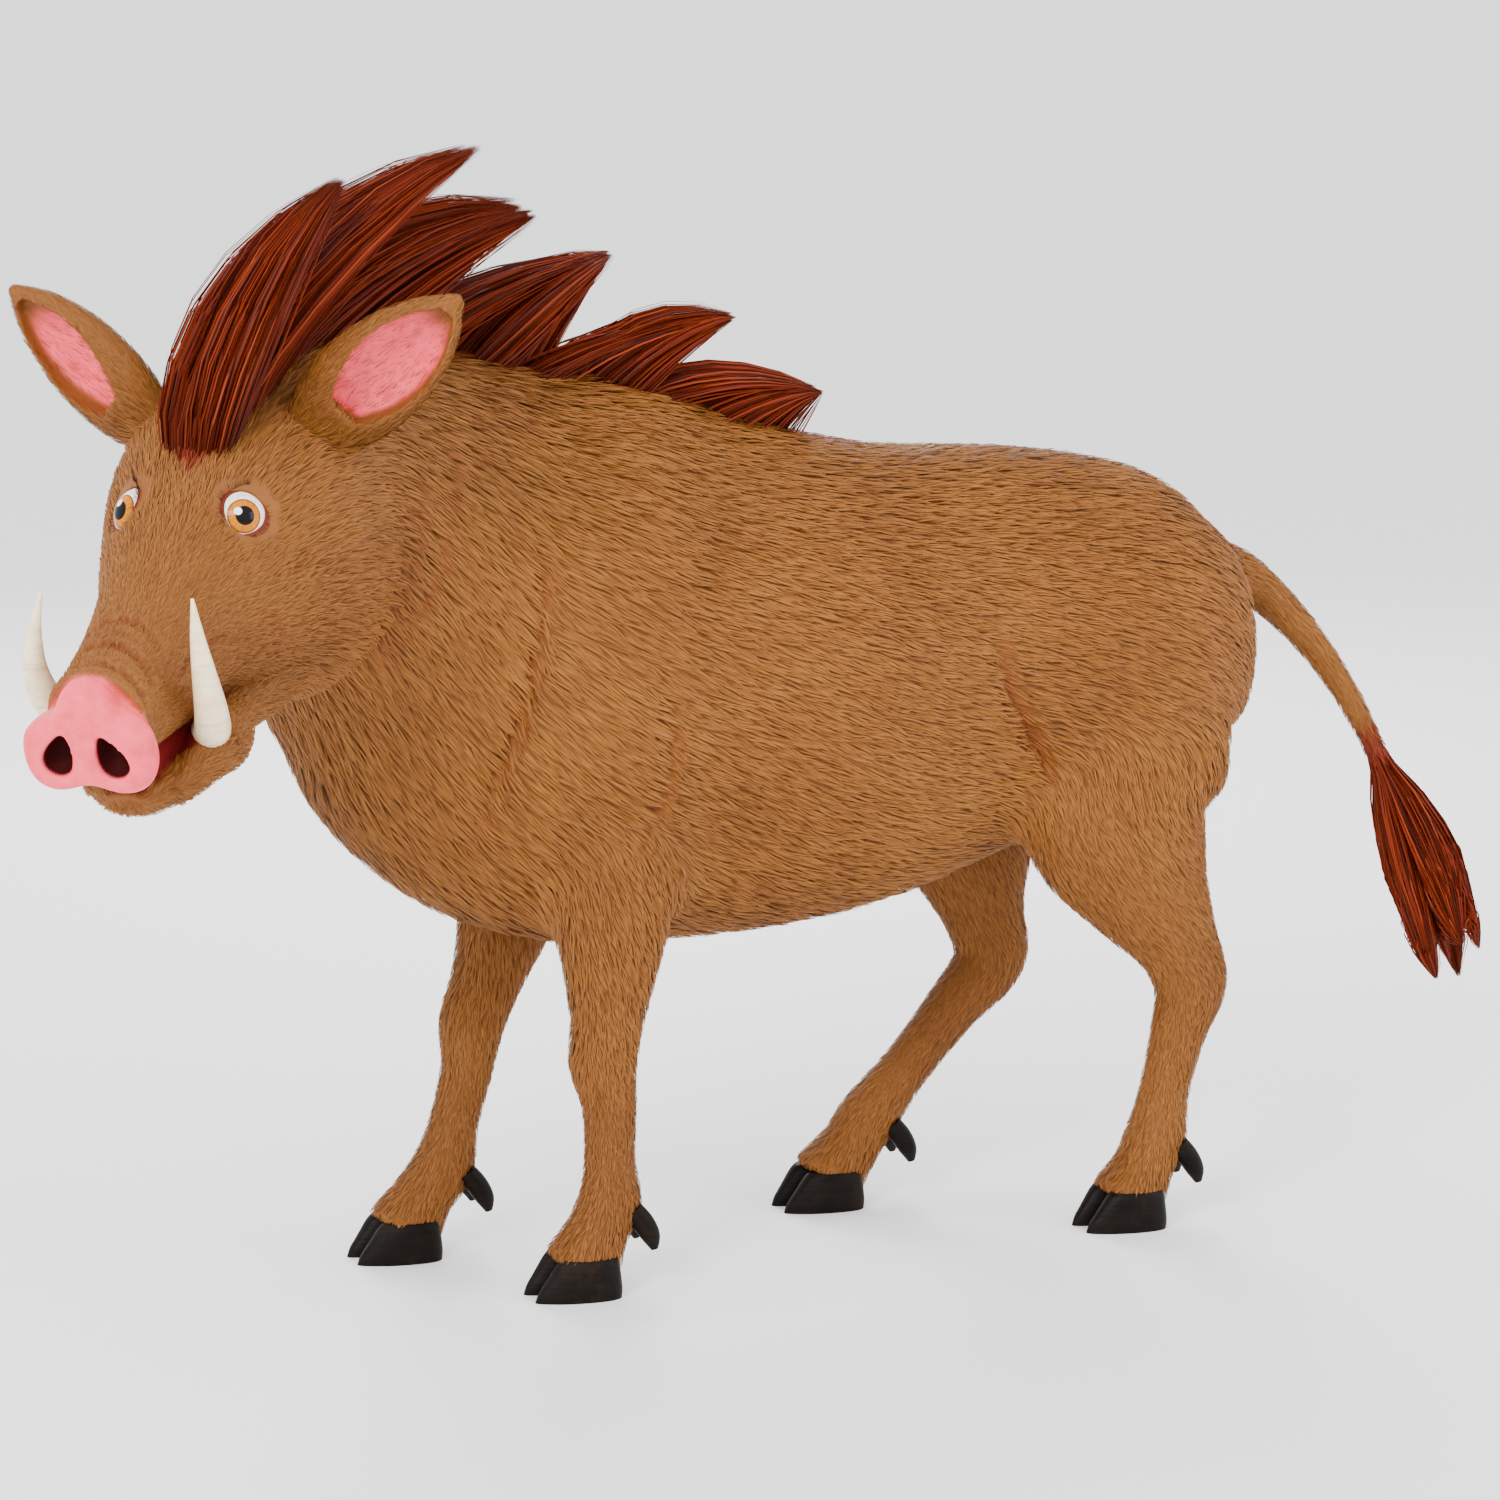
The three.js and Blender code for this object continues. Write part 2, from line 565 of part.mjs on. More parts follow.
// The frame of an ear: its root on the head, the way it points, and the way its cup faces.
function earFrame(side) {
  const angle = side > 0 ? deg(EAR.angle) : Math.PI - deg(EAR.angle);
  const root = trunk.surface(EAR.at, angle, trunk.coat(EAR.at));
  const points = HEAD_UP.clone()
    .multiplyScalar(0.62)
    .addScaledVector(HEAD_LEFT, side * 0.76)
    .addScaledVector(HEAD_FORWARD, -0.26)
    .normalize();
  const faces = HEAD_FORWARD.clone().multiplyScalar(0.94).addScaledVector(HEAD_LEFT, side * 0.34).normalize();
  return { root: root.here, points, faces };
}

// A leaf of rings up the ear from low to high percent, its section shaped by size(share).
function earLeaf({ root, points, faces }, low, high, size) {
  const rows = [];
  for (let k = 0; k <= 6; k++) {
    const share = k / 6;
    const away = lerp(low, high, share);
    const place = root.clone().addScaledVector(points, away * PERCENT).divideScalar(PERCENT);
    rows.push([place.x, place.y, place.z, ...size(share)]);
  }
  return new Loft("x y z side above below square", rows, { top: faces });
}

function earPart(side) {
  const frame = earFrame(side);
  const outer = earLeaf(frame, -2.4, EAR.length, (share) => {
    const outline = Math.sin(Math.PI * clamp(0.16 + 0.84 * share, 0, 1)) ** 0.75;
    return [0.12 + 5.4 * outline, 0.2 + 2.7 * outline, 0.2 + 2.4 * outline, 2];
  });
  const hollow = earLeaf(frame, 2.2, EAR.length - 0.9, (share) => {
    const open = Math.sin(Math.PI * clamp(0.14 + 0.82 * share, 0, 1)) ** 0.8;
    return [0.1 + 4.3 * open, 6, 0.1 + 1.4 * open, 2];
  });
  return outer.solid({ rings: 10, segments: 14 }).subtract(hollow.solid({ rings: 9, segments: 12 }));
}

const EYE = { at: 13.05, angle: 48, radius: 3.0, sunk: 2.6, lid: 0.5 };

// An eye's middle and the way it looks.
function eyeFrame(side) {
  const angle = side > 0 ? deg(EYE.angle) : Math.PI - deg(EYE.angle);
  const place = trunk.surface(EYE.at, angle);
  const looks = place.normal;
  return { middle: place.here.addScaledVector(looks, -EYE.sunk * PERCENT + 4), looks };
}

// Lids: a thick ball of flesh round the eye, hollow for it, with a slit between them.
function addLids(head, side) {
  const { middle, looks } = eyeFrame(side);
  const turn = facing(HEAD_FORWARD, looks);
  const lids = ball(middle, (EYE.radius + EYE.lid) * PERCENT, vec(1.15, 0.95, 1), turn);
  const slit = ball(
    middle.clone().addScaledVector(looks, 2.8 * PERCENT),
    PERCENT,
    vec(2.4, 1.8, 2.6),
    facing(HEAD_FORWARD.clone().addScaledVector(HEAD_UP, 0.25), looks),
  );
  const socket = ball(middle, EYE.radius * PERCENT + GAP, vec(1, 1, 1), turn);
  return head.add(lids).subtract(slit).subtract(socket);
}

function eyePart(side) {
  const { middle, looks } = eyeFrame(side);
  return ball(middle, EYE.radius * PERCENT, vec(1, 1, 1), facing(HEAD_FORWARD, looks));
}

// A tusk of the lower jaw: it leaves the mouth outwards, then curves up and back to a worn point.
function tuskPart(side, clear = 0) {
  const row = (forward, left, up, radius) => headRowAt(forward, side * left, up, radius, radius, radius);
  return new Loft(
    "x y z side above below",
    [
      row(29.0, 2.2, -8.6, 1.3),
      row(31.8, 3.6, -8.2, 1.6),
      row(34.6, 5.2, -7.0, 1.8),
      row(37.2, 6.9, -4.8, 1.7),
      row(39.2, 8.0, -1.5, 1.5),
      row(39.9, 8.3, 2.1, 1.15),
      row(39.3, 8.0, 5.6, 0.7),
      row(37.7, 7.4, 8.8, 0.14),
    ],
    { top: HEAD_FORWARD },
  ).solid({ rings: 14, segments: 10, clear });
}

// A lip: a rounded roll of flesh along the edge of a loft, at an angle, from one place to another.
function lip(loft, angle, from, to, radius) {
  const rows = [];
  for (let k = 0; k <= 5; k++) {
    const t = lerp(from, to, k / 5);
    const place = loft.point(t, deg(angle), loft.coat(t)).divideScalar(PERCENT);
    rows.push([place.x, place.y, place.z, radius, radius, radius]);
  }
  return new Loft("x y z side above below", rows, { top: HEAD_UP }).solid({ rings: 6, segments: 6 });
}
const upperLip = (side, radius) => lip(trunk, side > 0 ? -50 : 230, 14.1, 15.8, radius);
const lowerLip = (side) => lip(jaw, side > 0 ? 42 : 138, 2.2, 4.4, 0.5);

// ---------------------------------------------------------------- nodes

const COLOURS = {
  coat: [0x9a6a3a, 0.85],
  crest: [0x5c2614, 0.85],
  snout: [0xd98f8c, 0.5],
  eye: [0xc9822a, 0.12],
  tusk: [0xeee3cd, 0.35],
  hoof: [0x2a1f18, 0.55],
};
const boar = new THREE.Group();

function addNode(name, solid, slot) {
  const { vertProperties, triVerts, numProp } = largest(solid).getMesh();
  const points = [];
  for (let i = 0; i < vertProperties.length; i += numProp) {
    points.push(vec(vertProperties[i], vertProperties[i + 1], vertProperties[i + 2]));
  }
  const geometry = new THREE.BufferGeometry().setFromPoints(points);
  geometry.setIndex([...triVerts]);
  geometry.computeVertexNormals();
  const [color, roughness] = COLOURS[slot];
  const mesh = new THREE.Mesh(geometry, new THREE.MeshStandardMaterial({ color, roughness, metalness: 0 }));
  mesh.name = name;
  boar.add(mesh);
}

const torso = torsoPart();
const torsoClear = torsoPart(GAP);
const neckClear = neckPart(GAP);
addNode("torso", torso, "coat");
addNode("neck", neckPart().subtract(torsoClear), "coat");

const headClear = headPart(GAP);
let head = headPart().subtract(neckClear);
let lower = jawPart().add(lowerLip(SIDES.left)).add(lowerLip(SIDES.right)).subtract(headClear);
for (const [name, side] of Object.entries(SIDES)) {
  const tuskClear = tuskPart(side, 2 * GAP);
  head = addLids(head, side).add(upperLip(side, 0.62)).subtract(tuskClear);
  lower = lower.subtract(tuskClear).subtract(upperLip(side, 0.7));
  addNode(`ear_${name}`, earPart(side).subtract(headClear), "coat");
  addNode(`eye_${name}`, eyePart(side), "eye");
  addNode(`tusk_${name}`, tuskPart(side), "tusk");
}
addNode("head", head, "coat");
addNode("jaw", lower, "coat");

let disc = snoutDisc.solid({ rings: 6, segments: 18 }).subtract(headClear);
for (const side of Object.values(SIDES)) {
  const turn = facing(HEAD_FORWARD, HEAD_UP.clone().addScaledVector(HEAD_LEFT, -0.35 * side));
  const nostril = ball(inHead(HEAD_LENGTH + 0.2, 2.5 * side, -1), PERCENT, vec(2.8, 1.45, 2.4), turn);
  disc = disc.subtract(nostril);
}
addNode("snout_disc", disc, "snout");

for (const [name, { footX, side, joint, loft }] of Object.entries(LEGS)) {
  const footY = -side * FOOT_SPREAD;
  const half = loft.halfGap(joint);
  const upperLeg = (clear = 0) => loft.solid({ to: joint - half, rings: 9, segments: 16, clear });
  const lowerLeg = (clear = 0) => loft.solid({ from: joint + half, rings: 12, segments: 14, clear });
  addNode(`${name}_upper`, upperLeg().subtract(torsoClear), "coat");
  const soleOfLeg = CORONET * PERCENT + GAP;
  addNode(`${name}_lower`, lowerLeg().subtract(upperLeg(GAP)).trimByPlane([0, 0, 1], soleOfLeg), "coat");
  for (const [place, outward] of [["outer", -side], ["inner", side]]) {
    addNode(`${name}_hoof_${place}`, hoof(footX - 2.6, footY + 2.3 * outward, 5 * outward), "hoof");
    const claw = dewclaw(loft.value("x", joint === KNEE ? 7 : 8), footY + 2.1 * outward, outward);
    addNode(`${name}_dewclaw_${place}`, claw.subtract(lowerLeg(GAP)), "hoof");
  }
}

const tuftGap = tail.halfGap(TUFT);
addNode("tail", tail.solid({ to: TUFT - tuftGap, rings: 9, segments: 8 }).subtract(torsoClear), "coat");
const tuftLocks = [...Array(TUFT_LOCKS)].map((_, k) => tuftLock(k, random));
const tuftCore = tail.solid({ from: TUFT + tuftGap, rings: 6, segments: 8 });
addNode("tail_tuft", unite([tuftCore, ...tuftLocks]), "crest");

// The origin is the middle of the floor under the whole animal.
const box = new THREE.Box3().setFromObject(boar);
const middle = box.getCenter(vec(0, 0, 0));
boar.position.set(-middle.x, -middle.y, -box.min.z);

export default boar;
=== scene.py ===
"""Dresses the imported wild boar: one smooth skin, a coat of short tufts, a crest, eyes, tusks and hooves.

Lengths are metres in the frame of the solids: +Z up, head towards -X, the animal's left side towards -Y.
Body tables are in percent of the withers' height and repeat those of the solids, so each piece lies on them.
"""

import math

import bmesh
import bpy
import numpy as np
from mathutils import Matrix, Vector
from mathutils.bvhtree import BVHTree
from mathutils.kdtree import KDTree


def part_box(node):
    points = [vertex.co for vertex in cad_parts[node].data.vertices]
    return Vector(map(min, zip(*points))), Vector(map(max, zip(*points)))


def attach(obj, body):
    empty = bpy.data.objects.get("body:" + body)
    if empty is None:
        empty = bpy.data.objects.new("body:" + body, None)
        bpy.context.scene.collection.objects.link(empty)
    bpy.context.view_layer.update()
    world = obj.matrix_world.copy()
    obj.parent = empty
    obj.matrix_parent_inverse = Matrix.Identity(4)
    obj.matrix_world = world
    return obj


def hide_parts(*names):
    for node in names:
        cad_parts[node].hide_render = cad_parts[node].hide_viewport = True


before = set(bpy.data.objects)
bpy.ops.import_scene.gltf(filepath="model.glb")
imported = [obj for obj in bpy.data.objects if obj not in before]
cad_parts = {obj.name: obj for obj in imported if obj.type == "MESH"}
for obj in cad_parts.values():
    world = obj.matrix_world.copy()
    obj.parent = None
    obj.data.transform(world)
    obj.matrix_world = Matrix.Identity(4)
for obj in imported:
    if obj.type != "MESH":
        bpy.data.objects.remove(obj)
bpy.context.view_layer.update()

# ---------------- driving dimensions

PERCENT = 0.009  # one percent of the withers' height
MM = 0.001
HEAD_LENGTH = 50  # nape to the front of the snout disc, in the head's own percent
HEAD_TURN = 50  # degrees to the animal's left
HEAD_DROP = 21  # degrees below level
HEAD_SIZE = 1.06  # a percent in the head's own tables, as a share of one in the body's
FOOT_SPREAD = 11  # from the middle of the body to a foot
CORONET = 4.4  # height of a hoof's upper edge
CAMERA_TURN, CAMERA_RISE, CAMERA_DISTANCE = -24, 10, 4.5  # degrees, degrees and metres
CAMERA_AIM = np.array([-0.055, 0.0, 0.545])
UP = np.array([0.0, 0.0, 1.0])
FORWARD = np.array([-1.0, 0.0, 0.0])
SIDES = {"left": 1, "right": -1}
random = np.random.default_rng(7)


def length_of(v):
    return np.linalg.norm(v, axis=-1)


def unit(v):
    return v / np.maximum(length_of(v), 1e-12)[..., None]


def lerp(a, b, share):
    return a + (b - a) * share


def smoothstep(low, high, x):
    s = np.clip((x - low) / (high - low), 0, 1)
    return s * s * (3 - 2 * s)


def falling(low, high, x):
    return 1 - smoothstep(low, high, x)


def hump(x):
    return np.exp(-(x**2))


def between(angle, a, b):
    """The way at an angle from a towards b."""
    return np.cos(angle)[..., None] * a + np.sin(angle)[..., None] * b


def axes_of(x_axis, z_axis):
    """A turn with its x axis along x_axis and its z axis near z_axis, as columns."""
    x = unit(x_axis)
    y = unit(np.cross(z_axis, x))
    return np.stack([x, y, np.cross(x, y)], -1)


# ---------------- lofts


def catmull(values, t):
    """A smooth curve through evenly numbered values."""
    last = len(values) - 1
    i = np.clip(np.floor(t).astype(int), 0, last - 1)
    f = t - i
    a, b, c, d = (values[np.clip(i + k, 0, last)] for k in (-1, 0, 1, 2))
    return b + 0.5 * f * (c - a + f * (2 * a - 5 * b + 4 * c - d + f * (3 * (b - c) + d - a)))


class Loft:
    """A body part as rings along a centre line. Angle 0 is the part's left, 90 its top and -90 its underside.

    A swell is its station, degrees, reach in stations, reach in degrees and height, and comes on both sides.
    """

    shift = np.zeros(3)  # from the tables' origin to the frame's

    def __init__(self, columns, rows, top=UP, swells=()):
        self.table = dict(zip(columns.split(), np.array(rows, float).T))
        self.last = len(rows) - 1
        self.top = np.array(top, float)
        self.swells = swells

    def value(self, column, t, otherwise=0.0):
        t = np.asarray(t, float)
        return catmull(self.table[column], t) if column in self.table else np.full(t.shape, otherwise)

    def centre(self, t):
        return np.stack([self.value(c, t) for c in "xyz"], -1) * PERCENT + Loft.shift

    def frame(self, t):
        """The centre at a station, and the ways along, left and up there."""
        t = np.asarray(t, float)
        step = 0.02
        along = unit(self.centre(np.minimum(t + step, self.last)) - self.centre(np.maximum(t - step, 0)))
        left = unit(np.cross(self.top, along))
        return self.centre(t), along, left, np.cross(along, left)

    def swell(self, t, angle):
        rise = np.zeros(np.broadcast(t, angle).shape)
        for at, middle, long, wide, high in self.swells:
            for place in (middle, 180 - middle):
                turn = (np.degrees(angle) - place + 540) % 360 - 180
                rise = rise + high * np.exp(-(((t - at) / long) ** 2) - (turn / wide) ** 2)
        return rise * PERCENT

    def point(self, t, angle, grow=0.0):
        """The surface at a place, or a place that lies out from it by grow."""
        t, angle = np.broadcast_arrays(np.asarray(t, float), np.asarray(angle, float))
        centre, _, left, up = self.frame(t)
        power = 2 / self.value("square", t, 2)
        across, rise = (np.sign(v) * np.abs(v) ** power for v in (np.cos(angle), np.sin(angle)))
        side = np.maximum(self.value("side", t), 0.1) * PERCENT
        reach = np.maximum(np.where(rise > 0, self.value("above", t), self.value("below", t)), 0.1) * PERCENT
        narrow = 1 - self.value("ridge", t) * np.maximum(rise, 0) ** 2
        narrow = narrow - self.value("keel", t) * np.maximum(-rise, 0) ** 2
        outward = unit(left * (across / side)[..., None] + up * (rise / reach)[..., None])
        out = left * (across * side * narrow)[..., None] + up * (rise * reach)[..., None]
        return centre + out + outward * (grow + self.swell(t, angle))[..., None]

    def surface(self, t, angle):
        """The surface at a place, its outward normal and the way on along the loft."""
        step = 0.03
        forward = self.point(t + step, angle) - self.point(t - step, angle)
        round_ = self.point(t, angle + step) - self.point(t, angle - step)
        return self.point(t, angle), unit(np.cross(round_, forward)), unit(forward)


# ---------------- meshes


def read(items, key, wide, kind=np.int32):
    """One property of all items of a mesh, as rows of `wide` numbers, or as a plain list where that is 1."""
    values = np.empty(len(items) * wide, kind)
    items.foreach_get(key, values)
    return values.reshape(-1, wide) if wide > 1 else values


def get_points(mesh):
    return read(mesh.vertices, "co", 3, np.float32).astype(float)


def get_normals(mesh):
    return read(mesh.vertices, "normal", 3, np.float32).astype(float)


def get_edges(mesh):
    return read(mesh.edges, "vertices", 2)


def triangles_of(mesh):
    mesh.calc_loop_triangles()
    return read(mesh.loop_triangles, "vertices", 3)


def set_points(mesh, points):
    mesh.vertices.foreach_set("co", np.asarray(points, np.float32).ravel())
    mesh.update()


def paint(mesh, **values):
    """Stores values on the points, for the materials."""
    for name, value in values.items():
        attribute = mesh.attributes.new(name, "FLOAT", "POINT")
        attribute.data.foreach_set("value", np.ascontiguousarray(value, np.float32))


def linked(name, data):
    obj = bpy.data.objects.new(name, data)
    bpy.context.scene.collection.objects.link(obj)
    return obj


def mesh_object(name, points, faces):
    """An object from points and a list of arrays of faces, each array with one number of corners."""
    mesh = bpy.data.meshes.new(name)
    corners = np.concatenate([f.ravel() for f in faces])
    counts = np.concatenate([np.full(len(f), f.shape[1]) for f in faces])
    mesh.vertices.add(len(points))
    mesh.vertices.foreach_set("co", np.asarray(points, np.float32).ravel())
    mesh.loops.add(len(corners))
    mesh.loops.foreach_set("vertex_index", corners.astype(np.int32))
    mesh.polygons.add(len(counts))
    mesh.polygons.foreach_set("loop_start", (np.cumsum(counts) - counts).astype(np.int32))
    mesh.update(calc_edges=True)
    mesh.polygons.foreach_set("use_smooth", np.ones(len(counts), bool))
    return linked(name, mesh)


def grid_faces(rings, segments):
    """Quads between closed rings of points."""
    a = np.arange((rings - 1) * segments)
    b = a // segments * segments + (a + 1) % segments
    return np.stack([a, b, b + segments, a + segments], -1)


def loft_object(name, loft, start=0.0, end=None, rings=40, segments=48):
    """The closed surface of a stretch of a loft."""
    t = np.linspace(start, loft.last if end is None else end, rings)
    angle = np.pi / 2 + np.linspace(0, 2 * np.pi, segments, endpoint=False)
    points = loft.point(t[:, None], angle[None, :])
    ends = [points[0].mean(0), points[-1].mean(0)]
    middle = np.full(segments, rings * segments)
    here = np.arange(segments)
    following = (here + 1) % segments
    final = (rings - 1) * segments
    start_cap = np.stack([middle, following, here], -1)
    end_cap = np.stack([middle + 1, final + here, final + following], -1)
    faces = [grid_faces(rings, segments), start_cap, end_cap]
    return mesh_object(name, np.vstack([points.reshape(-1, 3), ends]), faces)


def ball_object(name, centre, radii, x_axis, z_axis, rings=24):
    """An ellipsoid with its own x axis along x_axis and its z axis near z_axis."""
    bm = bmesh.new()
    bmesh.ops.create_uvsphere(bm, u_segments=rings * 2, v_segments=rings, radius=1)
    mesh = bpy.data.meshes.new(name)
    bm.to_mesh(mesh)
    bm.free()
    set_points(mesh, (get_points(mesh) * np.array(radii)) @ axes_of(x_axis, z_axis).T + centre)
    return linked(name, mesh)


def drop(*objects):
    for obj in objects:
        mesh = obj.data
        bpy.data.objects.remove(obj)
        bpy.data.meshes.remove(mesh)


def applied(obj, kind, **settings):
    """The object with one modifier applied to it."""
    modifier = obj.modifiers.new(kind.lower(), kind)
    for key, value in settings.items():
        setattr(modifier, key, value)
    evaluated = obj.evaluated_get(bpy.context.evaluated_depsgraph_get())
    mesh = bpy.data.meshes.new_from_object(evaluated)
    obj.modifiers.clear()
    old, obj.data = obj.data, mesh
    bpy.data.meshes.remove(old)
    return obj


def cut(obj, *tools):
    for tool in tools:
        applied(obj, "BOOLEAN", operation="DIFFERENCE", solver="EXACT", object=tool)
    drop(*tools)
    return obj


def joined(name, objects):
    """Several objects' meshes in one, left where they are."""
    bm = bmesh.new()
    for obj in objects:
        bm.from_mesh(obj.data)
    mesh = bpy.data.meshes.new(name)
    bm.to_mesh(mesh)
    bm.free()
    drop(*objects)
    return linked(name, mesh)


def spread(values, edges, weight, times):
    """Values on points, averaged with their neighbours, each point by its own weight."""
    count = np.bincount(edges.ravel(), minlength=len(values)).astype(float)
    count = np.maximum(count, 1)[:, None]
    values = values.reshape(len(values), -1).copy()
    weight = np.broadcast_to(weight, (len(values),))[:, None]
    a, b = edges.T
    for _ in range(times):
        total = np.stack([np.bincount(a, v[b], len(v)) + np.bincount(b, v[a], len(v)) for v in values.T], -1)
        values += weight * (total / count - values)
    return values


def finished(obj, slot, *nodes, material=None):
    """Hands an object over: its material and the nodes that it stands for. The slot is not used."""
    if material:
        obj.data.materials.append(material)
    if nodes:
        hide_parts(*nodes)
    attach(obj, "root")


# ---------------- tables of the body

NAPE = np.array([-73.6, -13.2, 91.4])  # where the head's own tables begin
turn, dip = math.radians(HEAD_TURN), math.radians(HEAD_DROP)
HEAD_FORWARD = np.array([-math.cos(dip) * math.cos(turn), -math.cos(dip) * math.sin(turn), -math.sin(dip)])
HEAD_LEFT = unit(np.cross(UP, HEAD_FORWARD))
HEAD_UP = np.cross(HEAD_FORWARD, HEAD_LEFT)


def head_place(forward, left, up):
    return NAPE + (HEAD_FORWARD * forward + HEAD_LEFT * left + HEAD_UP * up) * HEAD_SIZE


def in_head(forward, left, up):
    return head_place(forward, left, up) * PERCENT + Loft.shift


def head_row(forward, down, *sizes, left=0):
    return [*head_place(forward, left, -down), *(size * HEAD_SIZE for size in sizes[:3]), *sizes[3:]]


trunk = Loft(
    "x y z side above below square ridge keel coat crest",
    [
        [47.7, 0, 71.4, 2.6, 3.0, 3.4, 2.0, 0.0, 0.0, 1.1, 0],  # 0 rump
        [45.7, 0, 71.2, 9.0, 8.8, 12.4, 2.0, 0.12, 0.0, 1.2, 0],  # 1 buttocks
        [40.1, 0, 70.4, 13.8, 14.6, 16.4, 2.1, 0.26, 0.0, 1.3, 0],  # 2 pelvis
        [30.4, 0, 69.8, 16.4, 18.6, 20.0, 2.2, 0.32, 0.0, 1.3, 0],  # 3 croup
        [15.9, 0, 69.0, 17.2, 21.4, 24.0, 2.2, 0.32, 0.05, 1.3, 0.6],  # 4 loin
        [-1.3, 0, 67.8, 20.2, 23.8, 28.4, 2.2, 0.34, 0.08, 1.3, 2.0],  # 5 barrel
        [-18.5, 0, 68.6, 21.0, 26.6, 31.2, 2.2, 0.38, 0.12, 1.3, 4.4],  # 6 ribs
        [-34.4, 0, 71.4, 19.8, 29.0, 33.0, 2.2, 0.42, 0.2, 1.3, 7.0],  # 7 shoulders
        [-46.5, -0.5, 76.4, 17.8, 27.0, 30.4, 2.2, 0.38, 0.26, 1.3, 9.0],  # 8 chest
        [-56.6, -2.8, 82.2, 16.4, 23.2, 25.0, 2.2, 0.3, 0.24, 1.3, 11.0],  # 9 neck base
        [-65.2, -6.8, 86.4, 15.2, 20.2, 20.4, 2.2, 0.22, 0.18, 1.3, 12.8],  # 10 neck middle
        [-72.8, -12.4, 88.8, 14.2, 17.6, 17.4, 2.2, 0.12, 0.12, 1.2, 14.2],  # 11 nape
        head_row(10.5, 0, 12.4, 14.0, 16.4, 2.3, 0.1, 0.15, 1.0, 16.0),  # 12 cheeks
        head_row(20.0, 0, 9.4, 10.9, 11.2, 2.3, 0.12, 0.1, 0.7, 11.0),  # 13 brow
        head_row(29.0, 0, 6.7, 7.9, 6.5, 2.3, 0.15, 0.0, 0.5, 0),  # 14 root of the muzzle
        head_row(37.8, 0, 5.2, 5.9, 4.7, 2.3, 0.12, 0.0, 0.4, 0),  # 15 muzzle
        head_row(45.9, 0, 4.7, 4.9, 4.3, 2.2, 0.1, 0.0, 0.3, 0),  # 16 end of the muzzle
    ],
    swells=[
        (2.9, -24, 1.2, 46, 2.6),  # haunch
        (4.35, -24, 0.6, 38, -1.7),  # flank hollow
        (6.25, -34, 0.4, 30, -0.9),  # behind the elbow
        (7.3, -14, 0.8, 42, 2.4),  # shoulder
        (7.5, 40, 0.6, 22, 0.8),  # top of the shoulder blade
        (8.7, -6, 0.4, 34, -0.8),  # groove before the shoulder
        (11.9, -42, 0.8, 32, 1.4),  # jowl
        (12.8, 62, 0.4, 14, 0.5),  # brow ridge
        (13.1, -8, 0.5, 22, 0.7),  # cheekbone
        (14.9, -30, 0.5, 26, 0.8),  # lip raised by the tusk
        (16.0, 60, 0.22, 60, 0.35),  # fold behind the snout disc
    ],
)
CREST_START, CREST_END = 12.6, 5.2  # stations
SEAM = 10.6  # the station where the head's finer mesh begins
SEAM_WIDTH = 14 * MM  # smoothed most

jaw = Loft(
    "x y z side above below square",
    [
        head_row(11, 10.6, 8.0, 4.2, 5.2, 2.2),  # 0 inside the cheeks
        head_row(19.6, 10.3, 6.6, 3.2, 4.4, 2.2),  # 1 angle of the jaw
        head_row(28.2, 9.4, 5.3, 2.6, 3.5, 2.2),  # 2 behind the tusks
        head_row(36, 8.9, 5.0, 2.0, 3.0, 2.2),  # 3 lower lip
        head_row(41.4, 9.4, 4.2, 1.7, 2.4, 2.2),  # 4 chin
        head_row(43.8, 9.5, 2.2, 1.0, 1.3, 2.0),  # 5 front of the chin
    ],
    top=HEAD_UP,
)

mouth = Loft(
    "x y z side above below square",
    [
        head_row(20, 7.6, 3.6, 3.0, 3.0, 2.4),
        head_row(28.2, 7.0, 3.6, 2.4, 2.4, 2.4),
        head_row(36, 6.5, 3.6, 2.6, 2.6, 2.4),
        head_row(41.2, 6.6, 2.9, 2.4, 2.4, 2.4),
    ],
    top=HEAD_UP,
)

snout_disc = Loft(
    "x y z side above below square ridge",
    [
        head_row(44.6, 0, 3.9, 4.0, 3.6, 2.2, 0.12),
        head_row(46.0, 0, 5.0, 5.0, 4.6, 2.2, 0.2),
        head_row(47.0, 0, 6.0, 5.6, 5.2, 2.3, 0.34),
        head_row(48.8, 0, 6.3, 5.7, 5.4, 2.3, 0.4),
        head_row(HEAD_LENGTH, 0, 5.6, 5.0, 4.8, 2.3, 0.4),
    ],
    top=HEAD_UP,
    swells=[
        *[(3, degrees, 4, 26, -0.9) for degrees in (38, 142)],  # flat sides above
        *[(3, degrees, 4, 26, 0.35) for degrees in (-42, -138)],  # lobes below
        (3, -90, 4, 20, -0.55),  # notch between the lobes
    ],
)

LEG_COLUMNS = "x y z side above below square"


